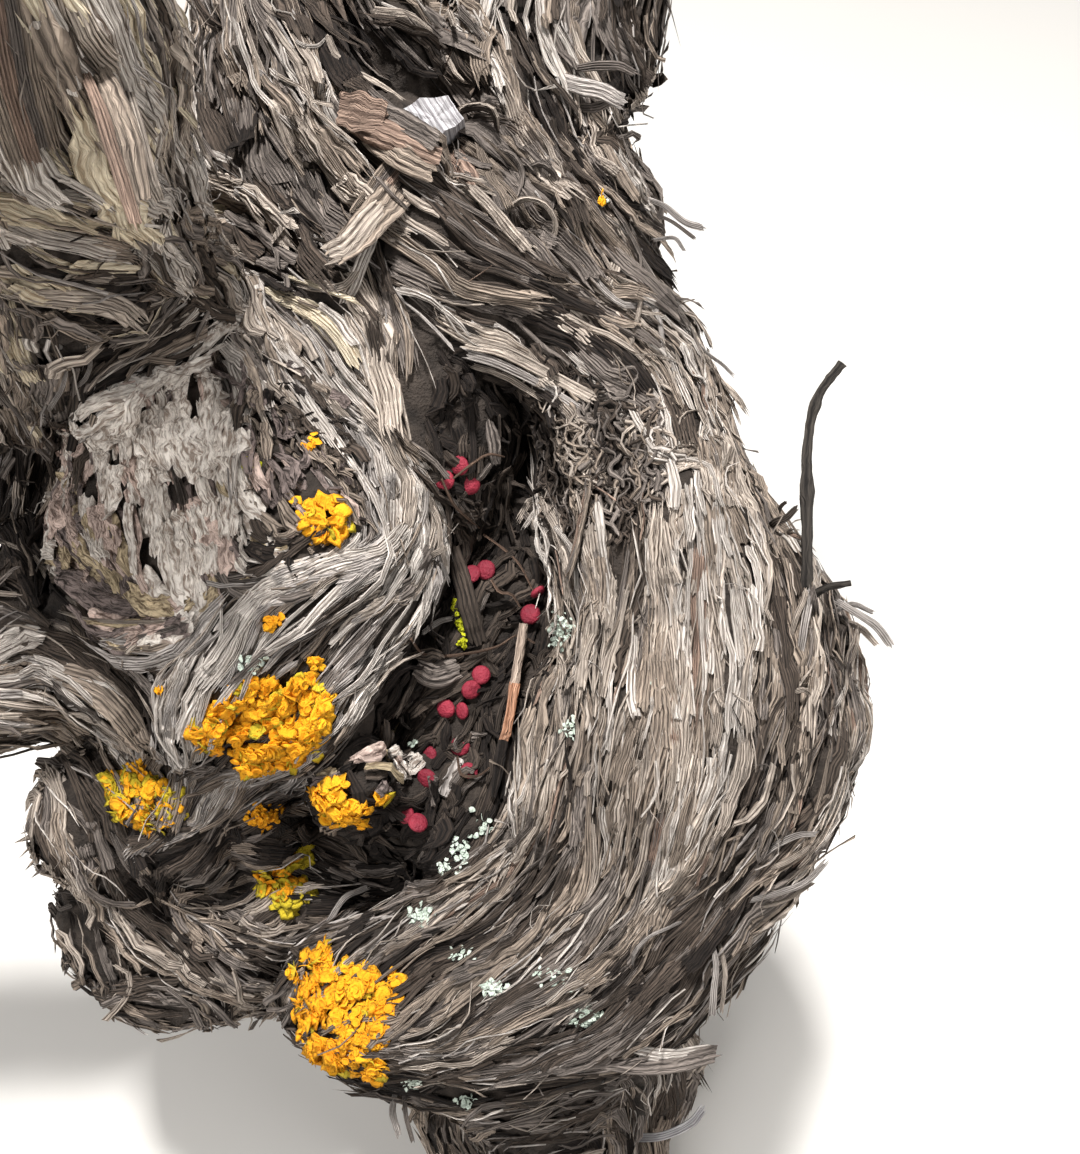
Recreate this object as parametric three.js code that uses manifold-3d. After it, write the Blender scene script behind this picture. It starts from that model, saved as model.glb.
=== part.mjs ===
// An old head-trained grapevine in its dormant season: a fluted trunk that leans and twists,
// a swollen head wrapped round a rotted hollow, the stub of a sawn arm healed to a knob,
// pruned arms with short spurs, and cushions of lichen. Millimetres, +Z up, with the origin
// in the flat cut at ground level.
import * as THREE from "three";
import { mergeVertices } from "three/addons/utils/BufferGeometryUtils.js";
import { ImprovedNoise } from "three/addons/math/ImprovedNoise.js";
import Module from "manifold-3d";

const wasm = await Module();
wasm.setup();

// Driving dimensions
const HEAD_HEIGHT = 290; // ground to the middle of the head's face
const HEAD_BACK = 58; // how far the trunk's lean carries the head back
const HEAD_ASIDE = -8; // and to the left
const FACE_TILT = 55; // degrees that the head's face looks up above the horizon
const WAIST_RADIUS = 43; // trunk at its narrowest
const SHOULDER_RADIUS = 42; // the wrapped shoulder at its thickest
const KNOB_RADIUS = 49; // the healed stub
const ARM_RADIUS = 27; // an arm where it leaves the head
const SEAM = 0.4; // clearance left between neighbouring solids
const SPUR_RADIUS = 4.6;

// The head's face is a plane that looks up at the tilt above. Places on the head are given by
// how far right, how far up the slope and how far out of that plane they lie.
const tilt = THREE.MathUtils.degToRad(FACE_TILT);
const UPSLOPE = new THREE.Vector3(0, Math.sin(tilt), Math.cos(tilt));
const OUTWARD = new THREE.Vector3(0, -Math.cos(tilt), Math.sin(tilt));

const UPRIGHT = new THREE.Vector3(0, 0, 1);

function onHead(right, up, out) {
  return new THREE.Vector3(HEAD_ASIDE + right, HEAD_BACK, HEAD_HEIGHT)
    .addScaledVector(UPSLOPE, up)
    .addScaledVector(OUTWARD, out);
}

const noise = new ImprovedNoise();

function lumpAt(point, size) {
  const p = point.clone().divideScalar(size).addScalar(17.3);
  return noise.noise(p.x, p.y, p.z) + 0.5 * noise.noise(2 * p.x, 2 * p.y, 2 * p.z);
}

// A number that runs smoothly through the values given for each point of a limb's path.
function ramp(values, t) {
  return new THREE.SplineCurve(values.map((v, i) => new THREE.Vector2(i, v))).getPoint(t).y;
}

// Radius factor that closes a limb's end into a dome: 0 at the tip, 1 from one radius in.
function dome(distance, radius) {
  const share = Math.min(distance / radius, 1);
  return Math.sqrt(1 - (1 - share) ** 2);
}

// One tapering limb, swept along its path. grow thickens it all over, for cutting a neighbour.
function limbGeometry(limb, grow = 0) {
  const { rings = 18, sides = 20, flutes = 5, fluteDepth = 0.05, twist = 0.3 } = limb;
  const { lump = 0.12, lumpSize = 38, flat = 1, ends = ["round", "round"], domes = [1, 1] } = limb;
  const curve = new THREE.CatmullRomCurve3(limb.path, false, "centripetal");
  const length = curve.getLength();
  const roundEnd = ends.map((end) => end === "round");
  const spread = (k) => {
    const x = k / rings;
    if (roundEnd[0] && roundEnd[1]) return 0.5 - 0.5 * Math.cos(Math.PI * x);
    return roundEnd[1] ? Math.sin((Math.PI / 2) * x) : x;
  };
  const points = [];
  let side = limb.across ? limb.across.clone() : new THREE.Vector3(1, 0, 0);
  for (let k = 0; k <= rings; k++) {
    const t = spread(k);
    const centre = curve.getPoint(t);
    const heading = curve.getTangent(t);
    if (limb.level) heading.lerp(UPRIGHT, Math.max(0, 1 - 4 * t)).normalize();
    side = side.clone().addScaledVector(heading, -side.dot(heading)).normalize();
    const other = heading.clone().cross(side);
    let radius = ramp(limb.girth, t);
    if (roundEnd[0]) radius *= dome(t * length, domes[0] * limb.girth[0]);
    if (roundEnd[1]) radius *= dome((1 - t) * length, domes[1] * limb.girth.at(-1));
    if ((k === 0 && roundEnd[0]) || (k === rings && roundEnd[1])) {
      points.push([centre.addScaledVector(heading, (k === 0 ? -1 : 1) * grow)]);
      continue;
    }
    const buttress = limb.buttress ? limb.buttress * (1 - t) ** 8 : 0;
    const ring = [];
    for (let s = 0; s < sides; s++) {
      const angle = (2 * Math.PI * s) / sides;
      const spoke = side
        .clone()
        .multiplyScalar(Math.cos(angle))
        .addScaledVector(other, Math.sin(angle) * flat);
      const skin = centre.clone().addScaledVector(spoke, radius);
      const wave = Math.sin(flutes * (angle + 2 * Math.PI * twist * t));
      const swell = 1 + (fluteDepth + buttress) * wave + lump * lumpAt(skin, lumpSize);
      ring.push(centre.clone().addScaledVector(spoke, radius * swell + grow));
    }
    points.push(ring);
  }
  return skinOver(points);
}

// Joins rings of points into one closed skin. A list of one point is a pole, and an open ring
// at either end is closed with a flat fan round its middle.
function skinOver(rings) {
  const first = rings[0];
  const last = rings.at(-1);
  const middle = (ring) =>
    ring.reduce((sum, p) => sum.add(p), new THREE.Vector3()).divideScalar(ring.length);
  const all = [...rings];
  if (first.length > 1) all.unshift([middle(first)]);
  if (last.length > 1) all.push([middle(last)]);
  const place = [];
  const corners = [];
  let start = 0;
  const starts = all.map((ring) => {
    ring.forEach((p) => place.push(p.x, p.y, p.z));
    start += ring.length;
    return start - ring.length;
  });
  for (let k = 0; k + 1 < all.length; k++) {
    const [low, high] = [all[k], all[k + 1]];
    const sides = Math.max(low.length, high.length);
    for (let s = 0; s < sides; s++) {
      const next = (s + 1) % sides;
      const [a, b] = [starts[k] + (low.length > 1 ? s : 0), starts[k] + (low.length > 1 ? next : 0)];
      const top = starts[k + 1];
      const [c, d] = [top + (high.length > 1 ? s : 0), top + (high.length > 1 ? next : 0)];
      if (low.length > 1) corners.push(a, b, c);
      if (high.length > 1) corners.push(low.length > 1 ? b : a, d, c);
    }
  }
  const geometry = new THREE.BufferGeometry();
  geometry.setAttribute("position", new THREE.Float32BufferAttribute(place, 3));
  geometry.setIndex(corners);
  return geometry;
}

function solidOf(geometry) {
  const bare = new THREE.BufferGeometry();
  bare.setAttribute("position", geometry.getAttribute("position"));
  bare.setIndex(geometry.index);
  const merged = mergeVertices(bare, 1e-4);
  const mesh = new wasm.Mesh({
    numProp: 3,
    vertProperties: new Float32Array(merged.attributes.position.array),
    triVerts: new Uint32Array(merged.index.array),
  });
  return new wasm.Manifold(mesh);
}

function geometryOf(solid) {
  const mesh = solid.getMesh();
  const geometry = new THREE.BufferGeometry();
  geometry.setAttribute("position", new THREE.BufferAttribute(mesh.vertProperties.slice(), 3));
  geometry.setIndex(new THREE.BufferAttribute(mesh.triVerts.slice(), 1));
  return geometry.toNonIndexed();
}

const largestBody = (solid) =>
  solid.decompose().reduce((best, body) => (body.volume() > best.volume() ? body : best));

// The wood, each limb one solid. A later limb is cut clear of the earlier ones that it grows from.
const LIMBS = {
  trunk: {
    path: [
      new THREE.Vector3(0, 0, 0),
      new THREE.Vector3(-10, 14, 58),
      new THREE.Vector3(-18, 36, 118),
      new THREE.Vector3(-26, 60, 172),
      new THREE.Vector3(-32, 78, 214),
    ],
    girth: [1.18, 1.05, 1.03, 1.2, 1.28].map((share) => share * WAIST_RADIUS),
    flat: 1.1,
    ends: ["flat", "round"],
    level: true,
    rings: 24,
    sides: 28,
    fluteDepth: 0.06,
    buttress: 0.12,
    twist: 0.35,
    domes: [1, 0.7],
  },
  heartwood: {
    path: [onHead(-24, -20, -94), onHead(-21, -17, -68), onHead(-20, -16, -44)],
    girth: [1.25, 1.4, 1.3].map((share) => share * WAIST_RADIUS),
    flat: 1.2,
    rings: 14,
    sides: 22,
    fluteDepth: 0.03,
    domes: [0.9, 0.5],
  },
  crown: {
    path: [
      onHead(-40, -58, -136),
      onHead(-58, -10, -106),
      onHead(-58, 40, -78),
      onHead(-50, 82, -58),
      onHead(-46, 112, -62),
    ],
    girth: [0.9, 1.1, 1.3, 1.15, 0.8].map((share) => share * WAIST_RADIUS),
    rings: 16,
    sides: 22,
    lump: 0.14,
  },
  shoulder: {
    path: [
      onHead(6, 86, -44),
      onHead(23, 45, -38),
      onHead(36, 6, -38),
      onHead(46, -24, -40),
      onHead(39, -53, -42),
      onHead(24, -86, -46),
    ],
    girth: [0.55, 0.58, 0.75, 0.95, 1.02, 0.92].map((share) => share * SHOULDER_RADIUS),
    domes: [1, 0.6],
    rings: 20,
    sides: 26,
    flutes: 6,
    fluteDepth: 0.03,
    lump: 0.07,
  },
  front_rim: {
    path: [
      onHead(41, -56, -45),
      onHead(33, -76, -46),
      onHead(17, -102, -46),
      onHead(-12, -116, -48),
      onHead(-46, -121, -52),
      onHead(-72, -118, -62),
    ],
    girth: [0.82, 0.88, 0.86, 0.76, 0.58, 0.42].map((share) => share * SHOULDER_RADIUS),
    domes: [0.5, 1],
    rings: 18,
    sides: 22,
    lump: 0.08,
  },
  wound_knob: {
    path: [onHead(-62, -6, -96), onHead(-74, -2, -64), onHead(-83, 1, -30), onHead(-86, 2, 3)],
    girth: [0.84, 1, 1.04, 0.9].map((share) => share * KNOB_RADIUS),
    flat: 1.1,
    domes: [0.6, 0.55],
    rings: 16,
    sides: 28,
    flutes: 4,
    lump: 0.08,
  },
  low_burl: {
    path: [
      onHead(-34, -70, -106),
      onHead(-80, -94, -98),
      onHead(-120, -108, -98),
      onHead(-148, -120, -106),
    ],
    girth: [1.3, 1.4, 1.35, 1.0].map((share) => share * ARM_RADIUS),
    rings: 14,
    sides: 20,
    lump: 0.16,
    lumpSize: 26,
  },
  knob_skirt: {
    path: [onHead(-60, -44, -72), onHead(-92, -58, -62), onHead(-118, -68, -62), onHead(-136, -80, -78)],
    girth: [1, 1.05, 1, 0.8].map((share) => share * ARM_RADIUS),
    rings: 12,
    sides: 18,
    lump: 0.14,
    lumpSize: 24,
  },
  back_left_arm: {
    path: [
      onHead(8, 62, -42),
      onHead(-24, 84, -42),
      onHead(-54, 114, -40),
      onHead(-65, 160, -42),
      onHead(-80, 206, -34),
      onHead(-106, 246, -12),
    ],
    girth: [0.95, 1.2, 1.25, 1.14, 0.8, 0.9].map((share) => share * ARM_RADIUS),
    rings: 22,
    sides: 20,
    lump: 0.14,
    lumpSize: 30,
  },
  back_right_arm: {
    path: [
      onHead(8, 62, -46),
      onHead(6, 98, -46),
      onHead(-6, 126, -48),
      onHead(6, 164, -54),
      onHead(22, 204, -50),
      onHead(50, 236, -32),
    ],
    girth: [0.95, 1.0, 0.95, 1.04, 0.76, 0.88].map((share) => share * ARM_RADIUS),
    rings: 20,
    sides: 20,
    lump: 0.14,
    lumpSize: 30,
  },
  near_arm: {
    path: [
      onHead(-112, 48, -62),
      onHead(-117, 74, -10),
      onHead(-110, 91, 42),
      onHead(-98, 102, 86),
      onHead(-100, 124, 122),
      onHead(-116, 150, 146),
    ],
    girth: [1.35, 1.25, 1.2, 1.1, 0.82, 0.9].map((share) => share * ARM_RADIUS),
    rings: 20,
    sides: 20,
    lump: 0.14,
    lumpSize: 30,
  },
  left_arm: {
    path: [
      onHead(-110, 20, -62),
      onHead(-136, -13, -50),
      onHead(-158, -28, -42),
      onHead(-194, -20, -26),
      onHead(-220, -2, 2),
    ],
    girth: [1.2, 1.0, 0.8, 0.68, 0.8].map((share) => share * ARM_RADIUS),
    rings: 18,
    sides: 18,
    lump: 0.14,
    lumpSize: 24,
  },
  hollow_snag: {
    path: [onHead(-46, -70, -62), onHead(-53, -60, -36), onHead(-48, -52, -24), onHead(-40, -49, -22)],
    girth: [12, 11, 8, 5],
    rings: 8,
    sides: 12,
    lump: 0.3,
    lumpSize: 14,
  },
};

// Colours as the bark, lichen and fruit show them
const FINISHES = {
  bark: { color: 0x8a7a6a, roughness: 0.95 },
  cane: { color: 0x9a7452, roughness: 0.8 },
  dead_cane: { color: 0x4a403a, roughness: 0.9 },
  lichen: { color: 0xd99a1c, roughness: 0.9 },
  fruit: { color: 0xa8283c, roughness: 0.7 },
};

function material(finish) {
  return new THREE.MeshStandardMaterial({ metalness: 0, ...FINISHES[finish] });
}

const vine = new THREE.Group();
const standing = []; // what is already there, thickened by the seam, for cutting the next piece

function add(name, whole, grown, finish) {
  const cut = standing.reduce((left, earlier) => left.subtract(earlier), whole);
  const mesh = new THREE.Mesh(geometryOf(largestBody(cut)), material(finish));
  mesh.name = name;
  vine.add(mesh);
  standing.push(grown);
}

function addLimb(name, limb, finish = "bark") {
  add(name, solidOf(limbGeometry(limb)), solidOf(limbGeometry(limb, SEAM)), finish);
}

for (const [name, limb] of Object.entries(LIMBS)) addLimb(name, limb);

// Pruned spurs: last year's canes cut back to a finger's length, at the arms' ends
const SPUR_LENGTH = 46;
const SPURS = [
  ["back_left_arm", -0.95, 0.2, 0.35],
  ["back_left_arm", -0.25, 0.65, 0.9],
  ["back_left_arm", 0.5, 0.8, 0.5],
  ["back_right_arm", 0.95, 0.25, 0.4],
  ["back_right_arm", 0.15, 0.7, 0.9],
  ["near_arm", -0.8, 0.2, 0.8],
  ["near_arm", 0.25, 0.6, 0.9],
  ["left_arm", -0.8, 0.5, 0.5],
  ["left_arm", -0.1, 0.6, 0.9],
];

const towards = (right, up, out) => onHead(right, up, out).sub(onHead(0, 0, 0)).normalize();

SPURS.forEach(([arm, ...aim], index) => {
  const [neck, tip] = LIMBS[arm].path.slice(-2);
  const knuckle = tip.clone().lerp(neck, 0.45);
  const heading = towards(...aim);
  const bow = heading.clone().cross(new THREE.Vector3(0, 0, 1)).normalize().multiplyScalar(4);
  const reach = LIMBS[arm].girth.at(-1) + SPUR_LENGTH;
  const at = (share) => knuckle.clone().addScaledVector(heading, share * reach);
  const spur = { path: [at(0.2), at(0.6).add(bow), at(1)], girth: [1.5, 1.1, 0.95] };
  spur.girth = spur.girth.map((share) => share * SPUR_RADIUS);
  const detail = { ends: ["round", "flat"], rings: 7, sides: 9, flutes: 3, lump: 0.1, lumpSize: 9 };
  addLimb(`spur_${index + 1}`, { ...spur, ...detail }, "cane");
});

// The wood's surface under a place on the head's face, and how it faces there
const wood = vine.children.filter((mesh) => mesh.name in LIMBS);
vine.updateMatrixWorld(true);
const ray = new THREE.Raycaster();

function surfaceUnder(right, up, carriers) {
  ray.set(onHead(right, up, 250), OUTWARD.clone().negate());
  const on = carriers ? wood.filter((mesh) => carriers.includes(mesh.name)) : wood;
  const hit = ray.intersectObjects(on, false)[0];
  return hit ? { point: hit.point, normal: hit.face.normal.clone() } : null;
}

// Cushions of leafy lichen: a lobed patch draped over the wood, thickest in its middle
const LICHEN_THICK = 3.4;
const LICHENS = [
  { on: "wound_knob", right: -71, up: -37.5, wide: 32, tall: 25, turn: 0.35 },
  { on: "front_rim", right: -54.5, up: -121, wide: 33, tall: 34, turn: 0.2 },
  { on: "knob_skirt", right: -110, up: -61.5, wide: 22, tall: 17, turn: -0.3 },
  { on: "hollow_snag", right: -52.5, up: -60.5, wide: 17, tall: 12, turn: 0.1 },
  { on: "low_burl", right: -76.5, up: -89, wide: 15, tall: 17, turn: 0.6 },
  { on: "wound_knob", right: -55.5, up: 14.5, wide: 12, tall: 12, turn: 0 },
];

function cushion({ on, right, up, wide, tall, turn }) {
  const LAYERS = [0, 0.4, 0.75, 1];
  const LOBES = 12;
  const middle = surfaceUnder(right, up, [on]);
  const place = (share, angle) => {
    const lobed = share * (1 + 0.16 * Math.sin(5 * angle) + 0.1 * Math.sin(3 * angle + 1));
    const across = 0.5 * wide * lobed * Math.cos(angle);
    const along = 0.5 * tall * lobed * Math.sin(angle);
    const x = right + across * Math.cos(turn) - along * Math.sin(turn);
    const y = up + across * Math.sin(turn) + along * Math.cos(turn);
    const spot = surfaceUnder(x, y, [on]);
    if (spot && spot.point.distanceTo(middle.point) < 0.8 * Math.max(wide, tall)) return spot.point;
    return onHead(x, y, 0).addScaledVector(OUTWARD, middle.point.clone().sub(onHead(x, y, 0)).dot(OUTWARD));
  };
  const ringOf = (share, lift) => {
    const count = share ? LOBES : 1;
    return Array.from({ length: count }, (_, lobe) =>
      place(share, (2 * Math.PI * lobe) / LOBES).addScaledVector(middle.normal, lift),
    );
  };
  const above = LAYERS.map((share) => ringOf(share, SEAM + LICHEN_THICK * (1 - 0.6 * share ** 2)));
  const below = LAYERS.map((share) => ringOf(share, -LICHEN_THICK));
  return skinOver([...below, ...above.reverse()]);
}

LICHENS.forEach((patch, index) => {
  const whole = solidOf(cushion(patch));
  add(`lichen_${index + 1}`, whole, whole, "lichen");
});

// Wood, twigs and strips that lie on the surface: a place there, raised above it
function above([right, up, lift], carriers) {
  const { point, normal } = surfaceUnder(right, up, carriers);
  return point.addScaledVector(normal, lift);
}

// Sprays of flat round fruit that lie in the hollow, threaded on their stalks
const FRUIT_RADIUS = 2.7;
const FRUIT_FLATNESS = 0.44;
const FRUIT_LIFT = 1.7;
const STALK_RADIUS = 0.9;
const SPRAYS = [
  [[-25.7, 26], [-21.8, 30], [-19, 25]],
  [[-19.6, 0.8], [-15.4, 2]],
  [[-0.6, -4.2], [-2.8, -10.6]],
  [[-26.6, -37.2], [-22, -37.8], [-19.4, -31.8], [-16.6, -27.6]],
  [[-31.8, -56.6], [-31.4, -50.4], [-22.6, -48], [-20, -54.8]],
  [[-37.2, -66.4], [-33.8, -68]],
];

function fruitAt(centre, facing) {
  const fruit = new THREE.SphereGeometry(FRUIT_RADIUS, 8, 4);
  fruit.scale(1, FRUIT_FLATNESS, 1);
  const turn = new THREE.Quaternion().setFromUnitVectors(new THREE.Vector3(0, 1, 0), facing);
  fruit.applyQuaternion(turn).translate(centre.x, centre.y, centre.z);
  return solidOf(fruit);
}

SPRAYS.forEach((places, index) => {
  const spots = places.map((place) => above([...place, FRUIT_LIFT]));
  const facings = places.map((place) => surfaceUnder(...place).normal);
  const stalk = { path: spots, girth: [STALK_RADIUS, STALK_RADIUS], rings: 6, sides: 5, lump: 0.2 };
  const whole = spots.reduce(
    (joined, spot, k) => joined.add(fruitAt(spot, facings[k])),
    solidOf(limbGeometry({ ...stalk, lumpSize: 3 })),
  );
  add(`spray_${index + 1}`, whole, whole, "fruit");
});

// A dry stalk that leans in the hollow, and a dead shoot with a forked stub on the shoulder
const DRY_STALK = {
  path: [above([-13, -63, 2]), above([-10.5, -40, 3.5]), above([-5, -15, 7])],
  girth: [1.4, 1.5, 1.2],
  rings: 9,
  sides: 8,
  lumpSize: 6,
};
addLimb("dry_stalk", DRY_STALK, "cane");

const DEAD_SHOOT = {
  path: [
    onHead(69, -9, -22),
    onHead(69, -2, -11),
    onHead(68.6, 20, -9),
    onHead(68.6, 34, -8),
    onHead(71, 46, -7),
    onHead(77, 54.5, -6),
  ],
  girth: [1.9, 1.7, 1.5, 1.5, 1.4, 1.1],
  rings: 12,
  sides: 7,
  lumpSize: 5,
};
const DEAD_FORK = {
  path: [onHead(69, -7, -18), onHead(73.5, -3, -11.5), onHead(79, -1.5, -9)],
  girth: [1.7, 1.5, 0.9],
  rings: 5,
  sides: 7,
  lumpSize: 5,
};
const deadWood = (grow) => solidOf(limbGeometry(DEAD_SHOOT, grow)).add(solidOf(limbGeometry(DEAD_FORK, grow)));
add("dead_shoot", deadWood(0), deadWood(SEAM), "dead_cane");

// Torn flaps of bark, rooted on the wood at one end and lifting towards the other
const FLAP_FLATNESS = 0.24;
const FLAPS = [
  { on: "near_arm", root: [-84, 100], tip: [-88, 77], width: 9, lift: 6 },
  { on: "back_left_arm", root: [-35, 108], tip: [-46, 90], width: 7, lift: 5 },
  { on: "back_left_arm", root: [-21, 113], tip: [-12, 92], width: 7, lift: 4 },
  { on: "shoulder", root: [14, 26], tip: [11, 0], width: 6, lift: 5 },
];

FLAPS.forEach(({ on, root, tip, width, lift }, index) => {
  const at = (share, height) => {
    const [right, up] = root.map((from, k) => THREE.MathUtils.lerp(from, tip[k], share));
    return above([right, up, height], [on]);
  };
  const path = [at(0, 1.1), at(0.35, 1.9), at(0.7, 0.6 * lift), at(1, lift)];
  const across = path[3].clone().sub(path[0]).cross(surfaceUnder(...root, [on]).normal).normalize();
  const shape = { path, across, flat: FLAP_FLATNESS, girth: [0.9, 1, 0.85, 0.55] };
  shape.girth = shape.girth.map((share) => (share * width) / 2);
  addLimb(`bark_flap_${index + 1}`, { ...shape, rings: 9, sides: 10, lumpSize: 7 });
});

export default vine;
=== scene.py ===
"""An old head-trained grapevine in its dormant season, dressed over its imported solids.

The wood's solids become one skin with furrows that follow the grain. Thousands of torn strips of
bark lie on it like thatch, each traced along the same grain. Lichen, fruit, stalks, spurs and a
dead shoot are built over their own solids. Everything is in metres.
"""

import logging
import math
from dataclasses import dataclass, field
from enum import Enum
from functools import cache

import bpy
import numpy as np
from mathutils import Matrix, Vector
from mathutils.bvhtree import BVHTree
from mathutils.kdtree import KDTree


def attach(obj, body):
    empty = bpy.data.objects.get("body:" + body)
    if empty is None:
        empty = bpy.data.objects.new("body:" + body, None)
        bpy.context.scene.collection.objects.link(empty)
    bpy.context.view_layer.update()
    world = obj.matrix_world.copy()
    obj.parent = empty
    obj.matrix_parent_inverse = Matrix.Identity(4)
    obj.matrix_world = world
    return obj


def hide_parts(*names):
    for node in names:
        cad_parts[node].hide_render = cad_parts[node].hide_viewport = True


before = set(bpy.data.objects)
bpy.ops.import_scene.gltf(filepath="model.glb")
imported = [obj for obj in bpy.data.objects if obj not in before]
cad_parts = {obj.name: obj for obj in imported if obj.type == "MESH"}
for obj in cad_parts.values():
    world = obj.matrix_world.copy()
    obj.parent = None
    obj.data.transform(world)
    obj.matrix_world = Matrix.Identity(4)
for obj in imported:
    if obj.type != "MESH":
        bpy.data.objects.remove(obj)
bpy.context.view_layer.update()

MM = 0.001
BODY = "root"
WOOD_NODES = (
    "trunk", "heartwood", "crown", "shoulder", "front_rim", "wound_knob", "low_burl",
    "knob_skirt", "back_left_arm", "back_right_arm", "near_arm", "left_arm", "hollow_snag",
)
log = logging.getLogger("grapevine")

Line = tuple[tuple[float, float], ...]
Course = tuple[tuple[float, float, float], ...]


def unit(vectors: np.ndarray) -> np.ndarray:
    """Scale vectors along the last axis to length one."""
    return vectors / np.maximum(np.linalg.norm(vectors, axis=-1, keepdims=True), 1e-12)


def dot(a: np.ndarray, b: np.ndarray) -> np.ndarray:
    """Give the dot product along the last axis, keeping that axis."""
    return np.sum(a * b, axis=-1, keepdims=True)


def linear(*colour: int) -> tuple[float, ...]:
    """Turn red, green and blue as a screen shows them into the shader's linear colour and alpha."""
    shares = [value / 255 for value in colour]
    return (*(s / 12.92 if s <= 0.04045 else ((s + 0.055) / 1.055) ** 2.4 for s in shares), 1.0)


@dataclass(frozen=True)
class Viewpoint:
    """Where the photograph was taken from, and its frame of 1080 by 1154 places.

    The head's face is a plane that looks up by tilt, and the camera looks straight at it.
    """

    head: tuple[float, float, float] = (-0.008, 0.058, 0.290)
    tilt: float = math.radians(55)
    distance: float = 0.3125
    focal: float = 1250.0
    middle: tuple[float, float] = (540.0, 577.0)
    frame_height: float = 1154.0
    sensor: float = 36.0

    @property
    def right(self) -> np.ndarray:
        """The direction to the right in the picture."""
        return np.array([1.0, 0.0, 0.0])

    @property
    def up(self) -> np.ndarray:
        """The direction up in the picture, which runs up the head's slope."""
        return np.array([0.0, math.sin(self.tilt), math.cos(self.tilt)])

    @property
    def out(self) -> np.ndarray:
        """The direction out of the head's face, towards the camera."""
        return np.array([0.0, -math.cos(self.tilt), math.sin(self.tilt)])

    @property
    def eye(self) -> np.ndarray:
        """The camera's place."""
        return np.array(self.head) + self.out * self.distance

    def depth(self, points: np.ndarray) -> np.ndarray:
        """Give how far points lie out of the head's face, towards the camera."""
        return (points - np.array(self.head)) @ self.out

    def seen(self, points: np.ndarray) -> np.ndarray:
        """Find where points show in the photograph's frame.

        Args:
            points: The places, x, y, z along the last axis.

        Returns:
            Their x and y in the frame.
        """
        offset = points - np.array(self.head)
        depth = np.maximum(self.distance - offset @ self.out, 0.02)
        x = self.middle[0] + self.focal * (offset @ self.right) / depth
        y = self.middle[1] - self.focal * (offset @ self.up) / depth
        return np.stack([x, y], axis=-1)

    def ray(self, x: float, y: float) -> np.ndarray:
        """Give the direction in which the camera sees a place of the frame."""
        across, upward = (x - self.middle[0]) / self.focal, (self.middle[1] - y) / self.focal
        return unit(self.right * across + self.up * upward - self.out)

    def at_depth(self, x: float, y: float, out: float) -> np.ndarray:
        """Give the point that shows at a place of the frame and lies so far out of the head's plane."""
        way = self.ray(x, y)
        return self.eye - way * (self.distance - out) / (way @ self.out)

    def build(self) -> None:
        """Make the camera and look through it."""
        data = bpy.data.cameras.new("photo_camera")
        data.sensor_width = self.sensor
        data.lens = self.focal / self.frame_height * self.sensor
        data.clip_start = 0.005
        camera = bpy.data.objects.new("photo_camera", data)
        camera.location = self.eye
        camera.rotation_euler = (math.pi / 2 - self.tilt, 0, 0)
        bpy.context.scene.collection.objects.link(camera)
        bpy.context.scene.camera = camera


VIEW = Viewpoint()


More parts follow.
